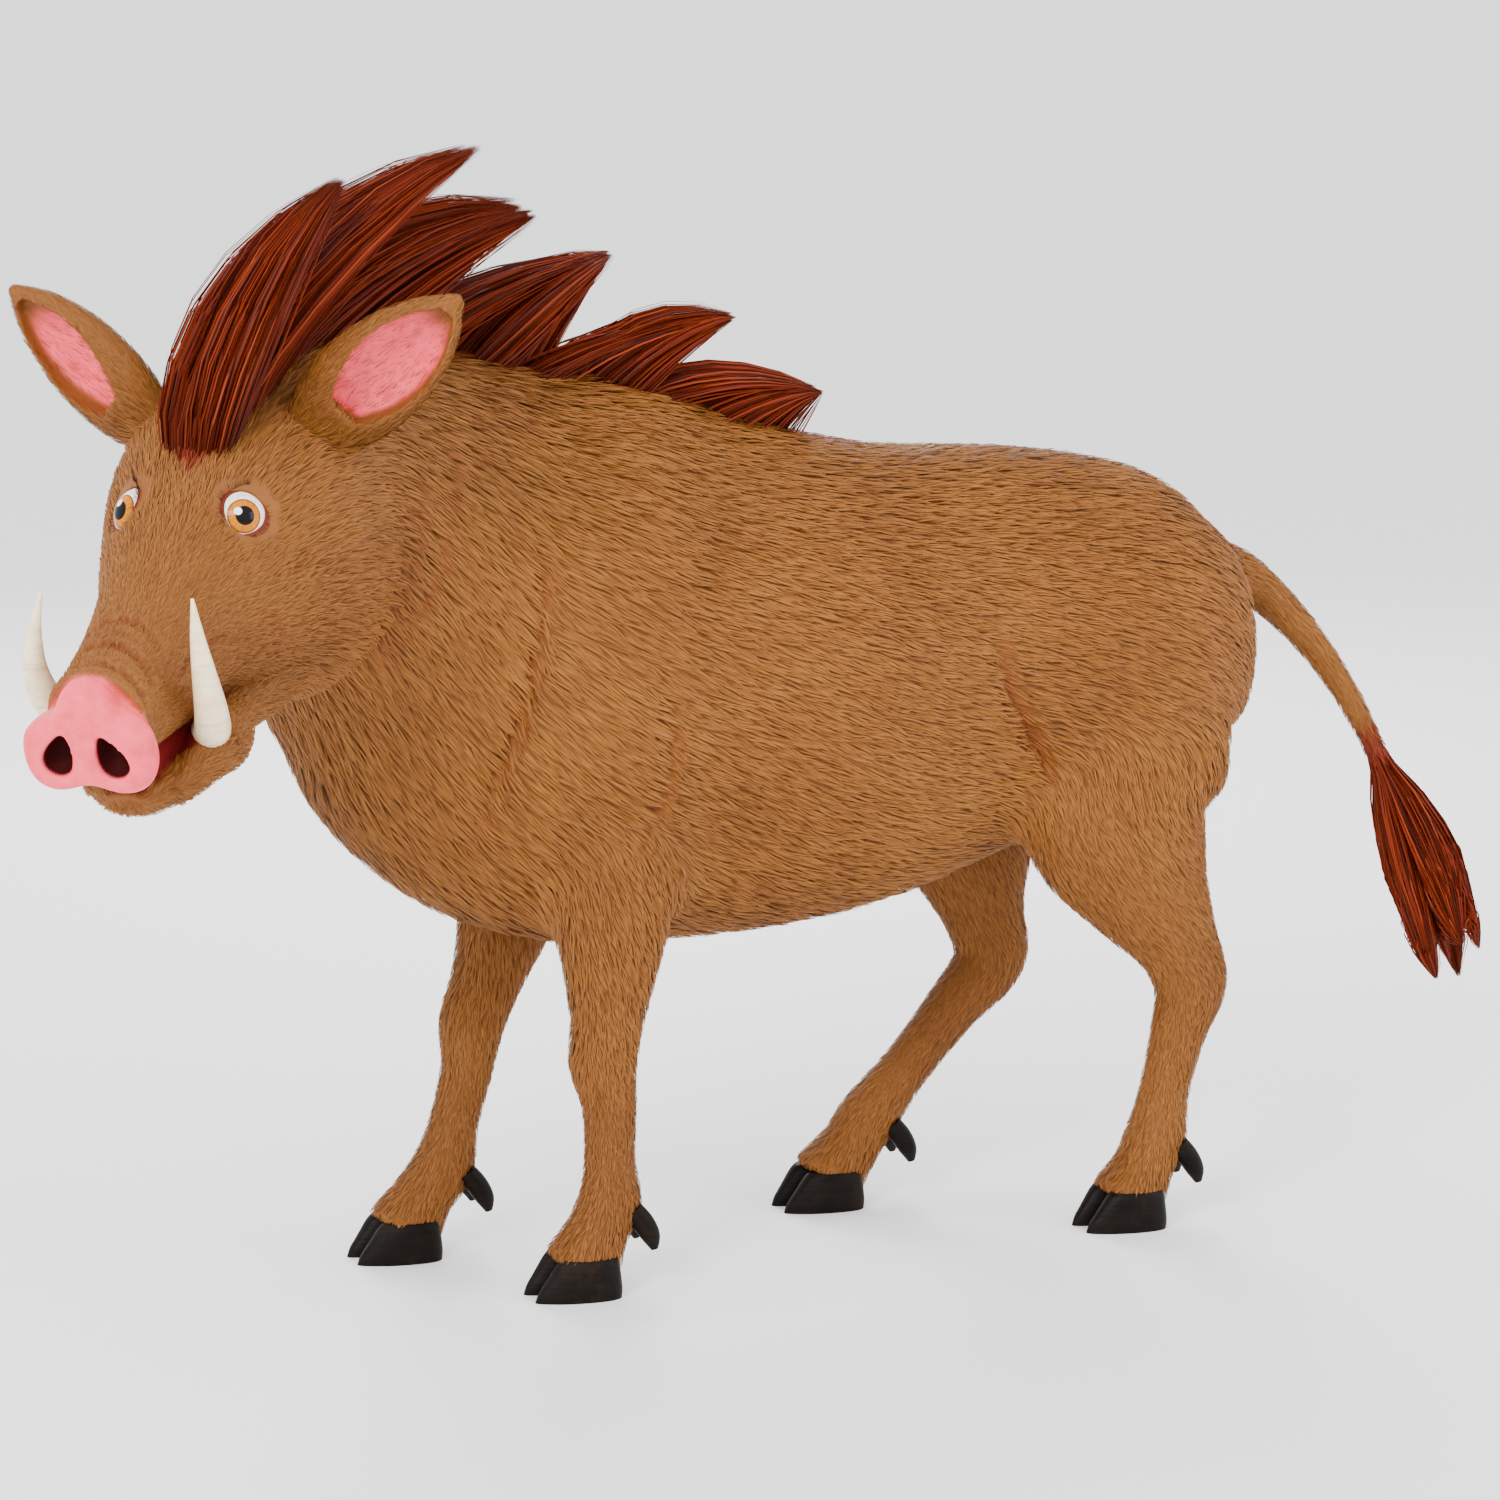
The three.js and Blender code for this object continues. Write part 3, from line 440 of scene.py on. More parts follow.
def foreleg(side, foot_x):
    elbow = (-35.4, 12.6, 47.8)

    def row(z, forward, *sizes):
        share = min(max((elbow[2] - z) / (elbow[2] - CORONET), 0), 1)
        y = -side * lerp(elbow[1], FOOT_SPREAD, share)
        return [lerp(elbow[0], foot_x, share) - forward, y, z, *sizes]

    rows = [
        row(60.5, 1.5, 5.6, 9.6, 9.8, 2),
        row(49.5, 0.4, 5.6, 7.8, 8.4, 2),
        row(39.5, 0.2, 4.7, 5.7, 5.8, 2),
        row(31.4, 0.3, 3.6, 4.0, 3.8, 2),
        row(26.0, 0.6, 3.4, 3.8, 3.2, 2.2),  # 4 knee
        row(21.0, 0.1, 2.8, 2.7, 3.0, 2.1),
        row(14.6, 0, 2.6, 2.5, 3.0, 2),
        row(10.2, 0, 3.2, 3.0, 3.8, 2.1),  # 7 fetlock
        row(6.8, 1.2, 3.2, 3.2, 3.3, 2.2),
        row(CORONET - 1.4, 2.6, 4.1, 4.5, 3.7, 2.3),
    ]
    return Loft(LEG_COLUMNS, rows, top=FORWARD)


def hindleg(side, foot_x, stifle, hock):
    fetlock = lerp(hock - 1.2, foot_x, 0.86)

    def row(x, z, *sizes):
        return [x, -side * lerp(12.2, FOOT_SPREAD, min(max((48 - z) / 30, 0), 1)), z, *sizes]

    rows = [
        [29.4, -side * 8.5, 70, 7, 13, 12.5, 2],
        [lerp(29.4, stifle, 0.45), -side * 10.4, 58, 7.4, 14, 14, 2],
        row(lerp(stifle, hock, 0.06), 49, 6.3, 11.4, 12, 2),  # 2 stifle
        row(lerp(stifle, hock, 0.42), 40.5, 5.0, 7.6, 8.4, 2),
        row(lerp(stifle, hock, 0.82), 33.4, 3.7, 4.7, 5.2, 2),
        row(hock, 28, 3.4, 3.8, 4.7, 2.1),  # 5 hock
        row(lerp(hock, fetlock, 0.3), 22.6, 2.8, 2.9, 3.5, 2.1),
        row(lerp(hock, fetlock, 0.7), 15.6, 2.6, 2.6, 3.1, 2),
        row(fetlock, 10.4, 3.2, 3.0, 3.9, 2.1),  # 8 fetlock
        row(lerp(fetlock, foot_x - 2, 0.5), 6.9, 3.2, 3.2, 3.4, 2.2),
        row(foot_x - 2.6, CORONET - 1.4, 4.1, 4.5, 3.7, 2.3),
    ]
    return Loft(LEG_COLUMNS, rows, top=FORWARD)


LEGS = {  # side, place of the foot, station of the fetlock, loft
    "foreleg_left": (1, -36, 7, foreleg(1, -36)),
    "foreleg_right": (-1, -49, 7, foreleg(-1, -49)),
    "hindleg_left": (1, 32.5, 8, hindleg(1, 32.5, 26, 37)),
    "hindleg_right": (-1, 4, 8, hindleg(-1, 4, 18.5, 22.5)),
}

tail = Loft(
    "x y z side above below",
    [
        [43.5, 0, 76.6, 3.4, 3.4, 3.8],
        [49.0, 0, 74.4, 2.8, 2.7, 2.9],
        [54.6, -0.3, 70.2, 2.2, 2.1, 2.2],
        [59.8, -0.8, 64.6, 1.75, 1.7, 1.7],
        [64.4, -1.4, 58.0, 1.45, 1.4, 1.4],
        [68.4, -1.9, 50.6, 1.25, 1.2, 1.2],  # 5 start of the tuft
        [72.0, -2.4, 42.8, 1.2, 1.2, 1.2],
        [75.4, -2.8, 34.4, 1.0, 1.0, 1.0],
        [78.4, -3.1, 25.2, 0.3, 0.3, 0.3],
    ],
    top=(1, 0, 0.3),
)
TUFT = 4.6  # the station where the tail's tuft begins

# ---------------- ears, eyes and nostrils

EAR_AT, EAR_ANGLE, EAR_LENGTH = 11.8, 46, 19  # station, degrees and percent
EYE_AT, EYE_ANGLE, EYE_RADIUS, EYE_SUNK = 13.05, 48, 3.0, 2.6  # station, degrees and percent
EYEBALL, EYE_GAP = EYE_RADIUS * PERCENT, 0.4 * MM
NOSTRIL_TAPER = 0.42


def side_angle(side, degrees):
    return math.radians(degrees if side > 0 else 180 - degrees)


def eye_frame(side):
    """An eye's middle and the way out of its socket."""
    here, normal, _ = trunk.surface(EYE_AT, side_angle(side, EYE_ANGLE))
    return here - normal * (EYE_SUNK * PERCENT - 4 * MM), normal


Loft.shift = np.mean(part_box("eye_left"), axis=0) - eye_frame(1)[0]


def ear_leaf(side, low, high, arch, edge, wide):
    """A leaf of rings up an ear, as wide as its edge plus an arch of a sine."""
    coat = trunk.value("coat", EAR_AT) * PERCENT
    root = trunk.point(EAR_AT, side_angle(side, EAR_ANGLE), coat) - Loft.shift
    points = unit(HEAD_UP * 0.62 + HEAD_LEFT * side * 0.76 - HEAD_FORWARD * 0.26)
    faces = unit(HEAD_FORWARD * 0.94 + HEAD_LEFT * side * 0.34)
    rows = []
    for k in range(7):
        share = k / 6
        bulge = math.sin(math.pi * (arch[0] + arch[1] * share)) ** arch[2]
        sizes = [least + more * bulge for least, more in zip(edge, wide)]
        rows.append([*(root / PERCENT + points * lerp(low, high, share)), *sizes])
    return Loft("x y z side above below", rows, top=faces)


def ear_outer(side):
    return ear_leaf(side, -2.4, EAR_LENGTH, (0.16, 0.84, 0.75), (0.45, 0.4, 0.45), (5.1, 2.5, 2.2))


def ear_hollow(side):
    return ear_leaf(side, 2.4, EAR_LENGTH - 1.9, (0.14, 0.82, 0.8), (0.1, 6, 0.1), (4.1, 0, 1.3))


def nostril(side):
    """A nostril's middle, radii and axes."""
    axes = axes_of(HEAD_FORWARD, HEAD_UP - HEAD_LEFT * 0.35 * side)
    return in_head(HEAD_LENGTH + 0.2, 2.5 * side, -1), PERCENT * np.array([2.8, 1.45, 2.4]), axes


def head_horn(side, rows, above=1, below=1):
    """A round piece of the head through rows of forward, left, up and radius."""
    rows = [head_row(f, -up, r, r * above, r * below, left=side * left) for f, left, up, r in rows]
    return Loft("x y z side above below", rows, top=HEAD_FORWARD)


# ---------------- skin

BODY_VOXEL, HEAD_VOXEL = ((5.6 * MM, 2.3 * MM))


def lip_object(name, loft, side, degrees, start, end, radius):
    """A thin roll along a lip, from one station of a loft to another."""
    t = np.linspace(start, end, 8)
    places = (loft.point(t, side_angle(side, degrees)) - Loft.shift) / PERCENT
    sizes = radius * np.sin(np.linspace(0.5, 2.6, 8))
    rows = [[*place, size, size, size] for place, size in zip(places, sizes)]
    return loft_object(name, Loft("x y z side above below", rows, top=HEAD_UP), segments=20)


def nostril_object(side):
    """A nostril's hollow, narrow above and wide below."""
    centre, radii, axes = nostril(side)
    ball = ball_object("nostril", centre, radii, axes[:, 0], axes[:, 2])
    place = (get_points(ball.data) - centre) @ axes
    place[:, 1] *= 1 - NOSTRIL_TAPER * place[:, 2] / radii[2]
    set_points(ball.data, place @ axes.T + centre)
    return ball


def ear_object(side):
    outer = loft_object("ear", ear_outer(side), rings=60)
    return cut(outer, loft_object("hollow", ear_hollow(side), rings=50, segments=40))


def tusk_socket(side):
    """The lower lip, which rolls out round the root of a tusk."""
    rows = [
        (26, 3.4, -9.8, 2.0),
        (30, 4.4, -9.2, 2.8),
        (33.4, 5.3, -8.5, 3.05),
        (35.8, 5.6, -8.0, 2.75),
        (38.4, 4.6, -8.9, 2.1),
        (41, 3.4, -9.7, 1.6),
    ]
    return loft_object("socket", head_horn(side, rows), rings=30, segments=30)


def eye_hole(side):
    middle, out = eye_frame(side)
    return ball_object("hole", middle, [EYEBALL + EYE_GAP] * 3, HEAD_FORWARD, out)


def head_objects():
    pieces = [
        cut(loft_object("head", trunk, 10.1, 16, rings=150, segments=144), eye_hole(1), eye_hole(-1)),
        loft_object("jaw", jaw, rings=70, segments=60),
        cut(loft_object("disc", snout_disc, segments=72), nostril_object(1), nostril_object(-1)),
        loft_object("mouth", mouth, segments=40),
        ear_object(1),
        ear_object(-1),
    ]
    for side in (1, -1):
        pieces.append(tusk_socket(side))
        pieces.append(lip_object("upper_lip", trunk, side, degrees=-50, start=14.1, end=15.8, radius=0.62))
        pieces.append(lip_object("lower_lip", jaw, side, degrees=42, start=2.2, end=4.4, radius=0.5))
    return pieces


def body_objects():
    pieces = [loft_object("trunk", trunk, 0, 11.2, rings=150, segments=120)]
    pieces.append(loft_object("tail", tail, rings=80, segments=24))
    return pieces + [loft_object(name, loft, rings=90) for name, (*_, loft) in LEGS.items()]


def trimmed(obj, place, normal, keep_front):
    """The object cut by a plane and left open there."""
    bm = bmesh.new()
    bm.from_mesh(obj.data)
    bmesh.ops.bisect_plane(
        bm,
        geom=bm.verts[:] + bm.edges[:] + bm.faces[:],
        dist=1e-6,
        plane_co=place,
        plane_no=normal,
        clear_inner=keep_front,
        clear_outer=not keep_front,
    )
    bm.to_mesh(obj.data)
    bm.free()
    return obj


def rim(mesh, place, normal, across):
    """The points of the open edge in order round the plane's normal, and their angles."""
    total = np.bincount(read(mesh.loops, "edge_index", 1), minlength=len(mesh.edges))
    found = np.unique(get_edges(mesh)[total == 1])
    away = get_points(mesh)[found] - place
    angle = np.arctan2(away @ np.cross(normal, across), away @ across)
    order = np.argsort(angle)
    return found[order], angle[order]


def stitched(body, head, *plane):
    """Body and head as one mesh, with a strip of triangles between their rims."""
    (a, angle_a), (b, angle_b) = rim(body.data, *plane), rim(head.data, *plane)
    offset = len(body.data.vertices)
    b = b + offset
    next_a, next_b = ([*angle[1:], angle[0] + 2 * np.pi, np.inf] for angle in (angle_a, angle_b))
    strip = []
    i = j = 0
    while i < len(a) or j < len(b):
        here_a, here_b = a[i % len(a)], b[j % len(b)]
        if next_a[i] <= next_b[j]:
            i += 1
            strip.append((here_a, a[i % len(a)], here_b))
        else:
            j += 1
            strip.append((here_a, b[j % len(b)], here_b))
    faces = [np.array(strip)]
    for mesh, first in ((body.data, 0), (head.data, offset)):
        corners = read(mesh.loops, "vertex_index", 1)
        counts = read(mesh.polygons, "loop_total", 1)
        starts = np.cumsum(counts) - counts
        for size in np.unique(counts):
            faces.append(corners[starts[counts == size][:, None] + np.arange(size)] + first)
    points = np.vstack([get_points(body.data), get_points(head.data)])
    drop(body, head)
    return mesh_object("skin", points, faces)


seam_place, seam_normal, seam_left, _ = trunk.frame(SEAM)
body_part = applied(joined("body", body_objects()), "REMESH", mode="VOXEL", voxel_size=BODY_VOXEL)
head_part = applied(joined("head", head_objects()), "REMESH", mode="VOXEL", voxel_size=HEAD_VOXEL)
body_part = trimmed(body_part, seam_place - seam_normal * 3 * MM, seam_normal, False)
head_part = trimmed(head_part, seam_place, seam_normal, True)
skin = stitched(body_part, head_part, seam_place, seam_normal, seam_left)

# ---------------- what grows where

# Place on the coat's map, tuft sizes in mm, tufts per square centimetre, and shares of three tints. The dark
# share also holds painted shade along the furrows' creases.
FIELDS = ["u", "v", "length", "width", "height", "density", "dark", "pink", "wet"]
# The wet share also carries painted shade: the nostrils darken with depth inside them.
LENGTH, WIDTH, HEIGHT, DENSITY, DARK, PINK, WET_AND_SHADE = range(2, len(FIELDS))
TRUNK_CELL = (0.01, 0.01, 0.59, 0.98)  # left, bottom, width and height on the map
JAW_CELL = (0.61, 0.01, 0.04, 0.3)
TAIL_CELL = (0.61, 0.34, 0.04, 0.3)
DISC_CELL = (0.61, 0.68, 0.04, 0.3)
LEG_CELLS = {name: (0.66 + 0.085 * k, 0.01, 0.08, 0.6) for k, name in enumerate(LEGS)}
EAR_CELLS = {1: (0.66, 0.64, 0.16, 0.35), -1: (0.83, 0.64, 0.16, 0.35)}
# The hair's way: a share of the way along the loft, less a table of shares of another way.
FALL = ([0, 0.7, 2, 4, 8, 9.5, 11, 12, 13, 16], [2.4, 1.6, 0.7, 0.34, 0.3, 0.6, 0.5, 0.25, 0.1, 0])
BACK_AND_DOWN = (-1, UP, FALL)
BACK = (-1, UP, ([0], [0.15]))
DOWN_THE_LEG = (1, FORWARD, ([0, 2, 5], [0.5, 0.35, 0.1]))
ALONG = (1, UP, ([0], [0]))
BARE = {"length": 3, "width": 0.6, "height": 1, "density": 0}
sources = []


def source(part, loft, cell, flow, steps, **fields):
    """Points of a loft with the hair's way and the fields there.

    A field is a number, a table of stations and values, or a function of t and angle.
    """
    angles = np.linspace(-np.pi / 2, 1.5 * np.pi, steps[1], endpoint=False)
    t, angle = (v.ravel() for v in np.meshgrid(np.linspace(0, loft.last, steps[0]), angles))

    def column(value):
        value = value(t, angle) if callable(value) else value
        return np.broadcast_to(np.interp(t, *value) if isinstance(value, tuple) else value, t.shape)

    values = {"dark": 0, "pink": 0, "wet": 0, **fields}
    values["u"] = cell[0] + cell[2] * t / loft.last
    values["v"] = cell[1] + cell[3] * (angle / (2 * np.pi) + 0.25)
    table = np.stack([column(values[field]) for field in FIELDS], -1)
    forward, aside, shares = flow
    way = forward * loft.frame(t)[1] - aside * np.interp(t, *shares)[:, None]
    sources.append((part, loft.point(t, angle), way, table))


def crest_shade(t, angle):
    """How far the crest's dark colour reaches over the skin beside its roots."""
    aside = np.abs((np.degrees(angle) + 90) % 360 - 180)
    stations = [CREST_END - 0.6, CREST_END, 7, 10, CREST_START - 0.6, CREST_START + 0.1, CREST_START + 0.3]
    reach = np.interp(t, stations, [0, 5, 9, 13, 15, 8, 0])
    return falling(0.7, 1.25, aside / np.maximum(reach, 0.1)) * (reach > 1)


def palate(t, angle):
    return smoothstep(0.8, 0.9, -np.sin(angle)) * smoothstep(13.7, 14.1, t) * falling(15.5, 15.7, t)


def mouth_floor(t, angle):
    return smoothstep(0.7, 0.82, np.sin(angle)) * smoothstep(0.8, 1.4, t) * falling(4.75, 4.95, t)


def ear_cup(t, angle):
    return smoothstep(0.05, 0.4, -np.sin(angle)) * falling(4.6, 5.7, t)


STATIONS = [0, 1, 3, 7, 9, 11, 12, 13, 14, 15, 16]
source(
    "trunk", trunk, TRUNK_CELL, BACK_AND_DOWN, (420, 150),
    length=(STATIONS, [22, 25, 27, 29, 33, 29, 22, 13, 9, 7, 4.5]),
    width=(STATIONS, [1.6, 1.7, 1.7, 1.7, 1.7, 1.5, 1.25, 0.95, 0.75, 0.65, 0.55]),
    height=(STATIONS, [4.4, 4.8, 5, 5.2, 5.8, 5.4, 4.4, 2.8, 2, 1.5, 1.2]),
    density=(STATIONS, [8, 7.2, 6.6, 6.6, 7, 8.5, 12, 20, 26, 30, 26]),
    dark=crest_shade,
    wet=palate,
)
source(
    "jaw", jaw, JAW_CELL, BACK, (70, 60),
    length=([0, 2, 5], [20, 11, 8]),
    width=0.8,
    height=([0, 2, 5], [4, 2.6, 2]),
    density=([0, 3, 5], [16, 22, 16]),
    wet=mouth_floor,
)
source("disc", snout_disc, DISC_CELL, BACK, (40, 70), pink=lambda t, angle: smoothstep(0.6, 1.4, t), **BARE)
source("mouth", mouth, DISC_CELL, BACK, (40, 40), wet=1, **BARE)
for name, (_, _, fetlock, loft) in LEGS.items():
    source(
        "leg", loft, LEG_CELLS[name], DOWN_THE_LEG, (120, 60),
        length=([0, 1, 3, 5, fetlock - 1, fetlock, loft.last], [26, 24, 16, 11, 9, 11, 17]),
        width=([0, 2, 5], [1.6, 1.3, 0.9]),
        height=([0, 1, 3, 5, fetlock, loft.last], [4.8, 4.4, 3.2, 2, 2.2, 3.2]),
        density=([0, 2, 4], [7, 11, 20]),
    )
source(
    "tail", tail, TAIL_CELL, ALONG, (120, 30), length=13, width=0.9, height=2.4, density=20,
    dark=lambda t, angle: smoothstep(TUFT - 0.5, TUFT, t),
)
for side in (1, -1):
    source(
        "ear", ear_outer(side), EAR_CELLS[side], ALONG, (50, 50),
        length=([0, 2, 6], [15, 9, 8]), width=0.75, height=([0, 2], [3, 1.6]), density=26,
    )
    source(
        "hollow", ear_hollow(side), EAR_CELLS[side], ALONG, (50, 40),
        length=12, width=0.35, height=3.5, density=3, pink=ear_cup,
    )
source_parts = np.concatenate([np.full(len(points), part) for part, points, _, _ in sources])
source_flows = unit(np.vstack([flow for _, _, flow, _ in sources]))
source_tables = np.vstack([table for *_, table in sources])


def point_tree(points):
    points = points.tolist()
    tree = KDTree(len(points))
    for k, point in enumerate(points):
        tree.insert(point, k)
    tree.balance()
    return tree


def nearest(points, tree):
    return np.array([tree.find(point)[1] for point in points.tolist()])


source_tree = point_tree(np.vstack([points for _, points, _, _ in sources]))

# ---------------- shaping the skin

points = get_points(skin.data)
edges = get_edges(skin.data)
found = nearest(points, source_tree)
part = source_parts[found]

# The body's parts run into each other, and the seam disappears.
big = np.isin(part, ["trunk", "leg", "tail"])
a, b = edges.T
meets = np.zeros(len(points))
meets[edges[(part[a] != part[b]) & big[a] & big[b]].ravel()] = 1
blend = np.clip(spread(meets, edges, weight=1.0, times=24)[:, 0] * 4, 0, 1)
points = spread(points, edges, weight=blend, times=50)
seam = hump((points - seam_place) @ seam_normal / SEAM_WIDTH)
points = spread(points, edges, weight=np.maximum(seam * 0.8, 0.25), times=6)
set_points(skin.data, points)

FURROWS = [  # half width and depth in mm, on how many sides, path of stations and degrees
    (4.2, 4.6, 1, [(15.82, 20), (15.72, 60), (15.7, 90), (15.72, 120), (15.82, 160)]),  # behind the disc
    (4.4, 4.6, 1, [(15.5, 24), (15.38, 62), (15.35, 90), (15.38, 118), (15.5, 156)]),  # over the muzzle
    (4.4, 3.6, 1, [(15.12, 40), (14.98, 72), (14.95, 90), (14.98, 108), (15.12, 140)]),
    (2.8, 3.0, 2, [(14.5, -48), (14.1, -38), (13.75, -26), (13.5, -12)]),  # corner of the mouth
    (3.0, 2.0, 2, [(15.2, 4), (14.8, 12), (14.3, 6), (13.95, -8)]),  # above the tusk
    (3.0, 2.2, 2, [(13.55, -34), (13.4, -22), (13.45, -8), (13.6, 4)]),  # cheek
    (3.0, 1.6, 2, [(13.25, 14), (13.0, 8), (12.75, 14)]),  # under the eye
    (4.0, 2.4, 2, [(11.4, 30), (11.3, 10), (11.35, -12), (11.6, -34)]),  # behind the jowl
    (7, 4.2, 1, [(10.9, 34), (10.8, 8), (10.85, -24), (11.0, -50)]),  # inside of the neck's turn
    (8, 3.6, 1, [(10.2, 30), (10.1, 4), (10.2, -26), (10.3, -46)]),
    (8, 8, 2, [(8.6, 12), (8.2, -6), (7.95, -26), (7.7, -50)]),  # shoulder
    (8, 8, 2, [(6.9, 0), (6.75, -18), (6.8, -36), (7.0, -54)]),  # elbow
    (9, 9, 2, [(4.5, 6), (4.35, -10), (4.1, -28), (3.9, -46)]),  # flank
]
ROLL_AT, ROLL_HEIGHT = 1.9, 0.45  # of the soft roll on each side of a furrow, in half widths and depths
FURROW_REACH = 0.03  # beyond its line
# How much painted shade the furrows' creases get, in the dark share.
CREASE_SHADE = 0.6
EYE_RING = (34 * MM, 38 * MM)  # bare up to here and coated from here, from an eye's middle


def furrow(points, normals, creased, path, half_width, depth):
    """Moves points in along a furrow of the trunk, and notes how much of the crease each has."""
    stations = np.array(path, float)
    share = np.linspace(0, len(stations) - 1, 60)
    line = trunk.point(catmull(stations[:, 0], share), np.radians(catmull(stations[:, 1], share)))
    fade = np.sin(np.pi * np.linspace(0.04, 0.96, 60)) ** 0.6
    low, high = line.min(0) - FURROW_REACH, line.max(0) + FURROW_REACH
    near = np.flatnonzero(((points > low) & (points < high)).all(1))
    away = length_of(points[near, None, :] - line[None, :, :])
    k = away.argmin(1)
    x = away[np.arange(len(near)), k] / (half_width * MM)
    move = -hump(x) + ROLL_HEIGHT * hump(x - ROLL_AT)
    points[near] += normals[near] * (move * fade[k] * depth * MM)[:, None]
    creased[near] = np.maximum(creased[near], hump(x / 0.8) * fade[k])


normals = get_normals(skin.data)
points = get_points(skin.data)
creased = np.zeros(len(points))
for half_width, depth, sides, path in FURROWS:
    mirrored = [(t, 180 - degrees) for t, degrees in path]
    for line in (path, mirrored)[:sides]:
        furrow(points, normals, creased, line, half_width, depth)
set_points(skin.data, points)

flows = spread(source_flows[found], edges, weight=1.0, times=14)
fields = source_tables[found]
fields[:, LENGTH:DARK] = spread(fields[:, LENGTH:DARK], edges, weight=1.0, times=8)
fields[:, DARK:] = spread(fields[:, DARK:], edges, weight=1.0, times=2)
# Painted shade: the skin and its tufts turn darker, towards russet, in the furrows' creases.
fields[:, DARK] = np.maximum(fields[:, DARK], CREASE_SHADE * creased)
for side in (1, -1):
    fields[:, DENSITY] *= smoothstep(*EYE_RING, length_of(points - eye_frame(side)[0]))
fields[np.isin(part, ["disc", "mouth"]), DENSITY] = 0
fields[:, DENSITY] *= falling(0.2, 0.5, fields[:, WET_AND_SHADE])
for side in (1, -1):
    centre, radii, axes = nostril(side)
    place = (points - centre) @ axes / radii
    place[:, 1] /= 1 - NOSTRIL_TAPER * np.clip(place[:, 2], -1.2, 1.2)
    inside = length_of(place)
    depth = (in_head(HEAD_LENGTH, 0, 0) - points) @ HEAD_FORWARD
    # Painted shade: deeper than 1.5 mm inside a nostril, its lining turns to the dark nostril colour.
    nostril_depth_shade = falling(1.08, 1.25, inside) * smoothstep(1.5 * MM, 5 * MM, depth)
    fields[:, WET_AND_SHADE] = np.maximum(fields[:, WET_AND_SHADE], nostril_depth_shade)
    fields[:, PINK] = np.maximum(fields[:, PINK], falling(1.35, 1.6, inside))
    fields[:, DENSITY] *= smoothstep(1.5, 1.7, inside)
paint(skin.data, dark=fields[:, DARK], pink=fields[:, PINK], wet=fields[:, WET_AND_SHADE])

# ---------------- materials


def srgb(*colour):
    """A colour in steps of 255, as the linear shares that nodes take."""
    shares = [step / 255 for step in colour]
    return tuple(v / 12.92 if v <= 0.04045 else ((v + 0.055) / 1.055) ** 2.4 for v in shares)


GOLD, GOLD_LIGHT, GOLD_DEEP = srgb(127, 75, 25), srgb(152, 98, 40), srgb(90, 46, 14)
RUSSET, RUSSET_LIGHT, RUSSET_DEEP = srgb(98, 26, 5), srgb(134, 48, 12), srgb(48, 10, 3)
ROSE, ROSE_DEEP = srgb(250, 78, 97), srgb(230, 58, 76)
# NOSTRIL is the nostrils' dark red lining, deepened by painted shade, and is used where they are deep.
MOUTH, NOSTRIL = srgb(92, 16, 18), srgb(48, 8, 9)
WHITE, GLINT, PUPIL = (1.0, 1.0, 1.0), (0.9, 0.9, 0.9), (0.004, 0.003, 0.003)


class Paint:
    """A material built up from nodes."""

    def __init__(self, name, **settings):
        self.material = bpy.data.materials.new(name)
        self.material.use_nodes = True
        self.tree = self.material.node_tree
        self.shader = self.tree.nodes["Principled BSDF"]
        for key, value in settings.items():
            self.set(key.replace("_", " "), value)

    def node(self, kind, inputs, **settings):
        node = self.tree.nodes.new("ShaderNode" + kind)
        for key, value in settings.items():
            setattr(node, key, value)
        for key, value in inputs.items():
            self.join(value, node.inputs[key])
        return node

    def join(self, value, socket):
        if isinstance(value, bpy.types.NodeSocket):
            self.tree.links.new(value, socket)
        else:
            socket.default_value = value

    def set(self, key, value):
        self.join(value, self.shader.inputs[key])

    def attributes(self, *names):
        return [self.node("Attribute", {}, attribute_name=name).outputs["Fac"] for name in names]

    def noise(self, scale, detail, rough=0.6, stretch=None, place=None):
        place = place or self.node("TexCoord", {}).outputs["Object"]
        if stretch:
            place = self.node("Mapping", {"Vector": place, "Scale": stretch}).outputs[0]
        inputs = {"Vector": place, "Scale": scale, "Detail": detail, "Roughness": rough}
        return self.node("TexNoise", inputs).outputs["Fac"]

    def ramp(self, value, *stops):
        node = self.node("ValToRGB", {"Fac": value})
        elements = node.color_ramp.elements
        while len(elements) < len(stops):
            elements.new(0.5)
        for element, (place, colour) in zip(elements, stops):
            element.position = place
            element.color = (*(colour if isinstance(colour, tuple) else (colour,) * 3), 1)
        return node.outputs["Color"]

    def mix(self, share, a, b, blend="MIX"):
        a, b = ((*value, 1) if isinstance(value, tuple) else value for value in (a, b))
        inputs = {"Factor": share, 6: a, 7: b}
        return self.node("Mix", inputs, data_type="RGBA", blend_type=blend).outputs[2]

    def bump(self, height, strength, distance):
        inputs = {"Height": height, "Strength": strength, "Distance": distance}
        self.set("Normal", self.node("Bump", inputs).outputs[0])


def coat_colour(paint):
    """The coat's golden brown, in patches, the same on the skin and on the tufts."""
    patches = paint.ramp(paint.noise(5.5, 3), (0.3, GOLD_DEEP), (0.52, GOLD), (0.75, GOLD_LIGHT))
    return paint.mix(0.45, GOLD, patches)


def coat_paint():
    paint = Paint("coat_tufts", Roughness=0.62, Specular_IOR_Level=0.2)
    shade, along, dark = paint.attributes("shade", "along", "dark")
    base = coat_colour(paint)
    base = paint.mix(paint.ramp(shade, (0.0, 0.0), (1.0, 0.42)), base, GOLD_LIGHT)
    base = paint.mix(paint.ramp(shade, (0.0, 0.4), (0.35, 0.0)), base, GOLD_DEEP)
    base = paint.mix(paint.ramp(along, (0.0, 0.3), (0.5, 0.0)), base, GOLD_DEEP)
    russet = paint.mix(paint.ramp(shade, (0.2, 0.0), (1.0, 0.7)), RUSSET, RUSSET_LIGHT)
    paint.set("Base Color", paint.mix(dark, base, russet))
    return paint.material


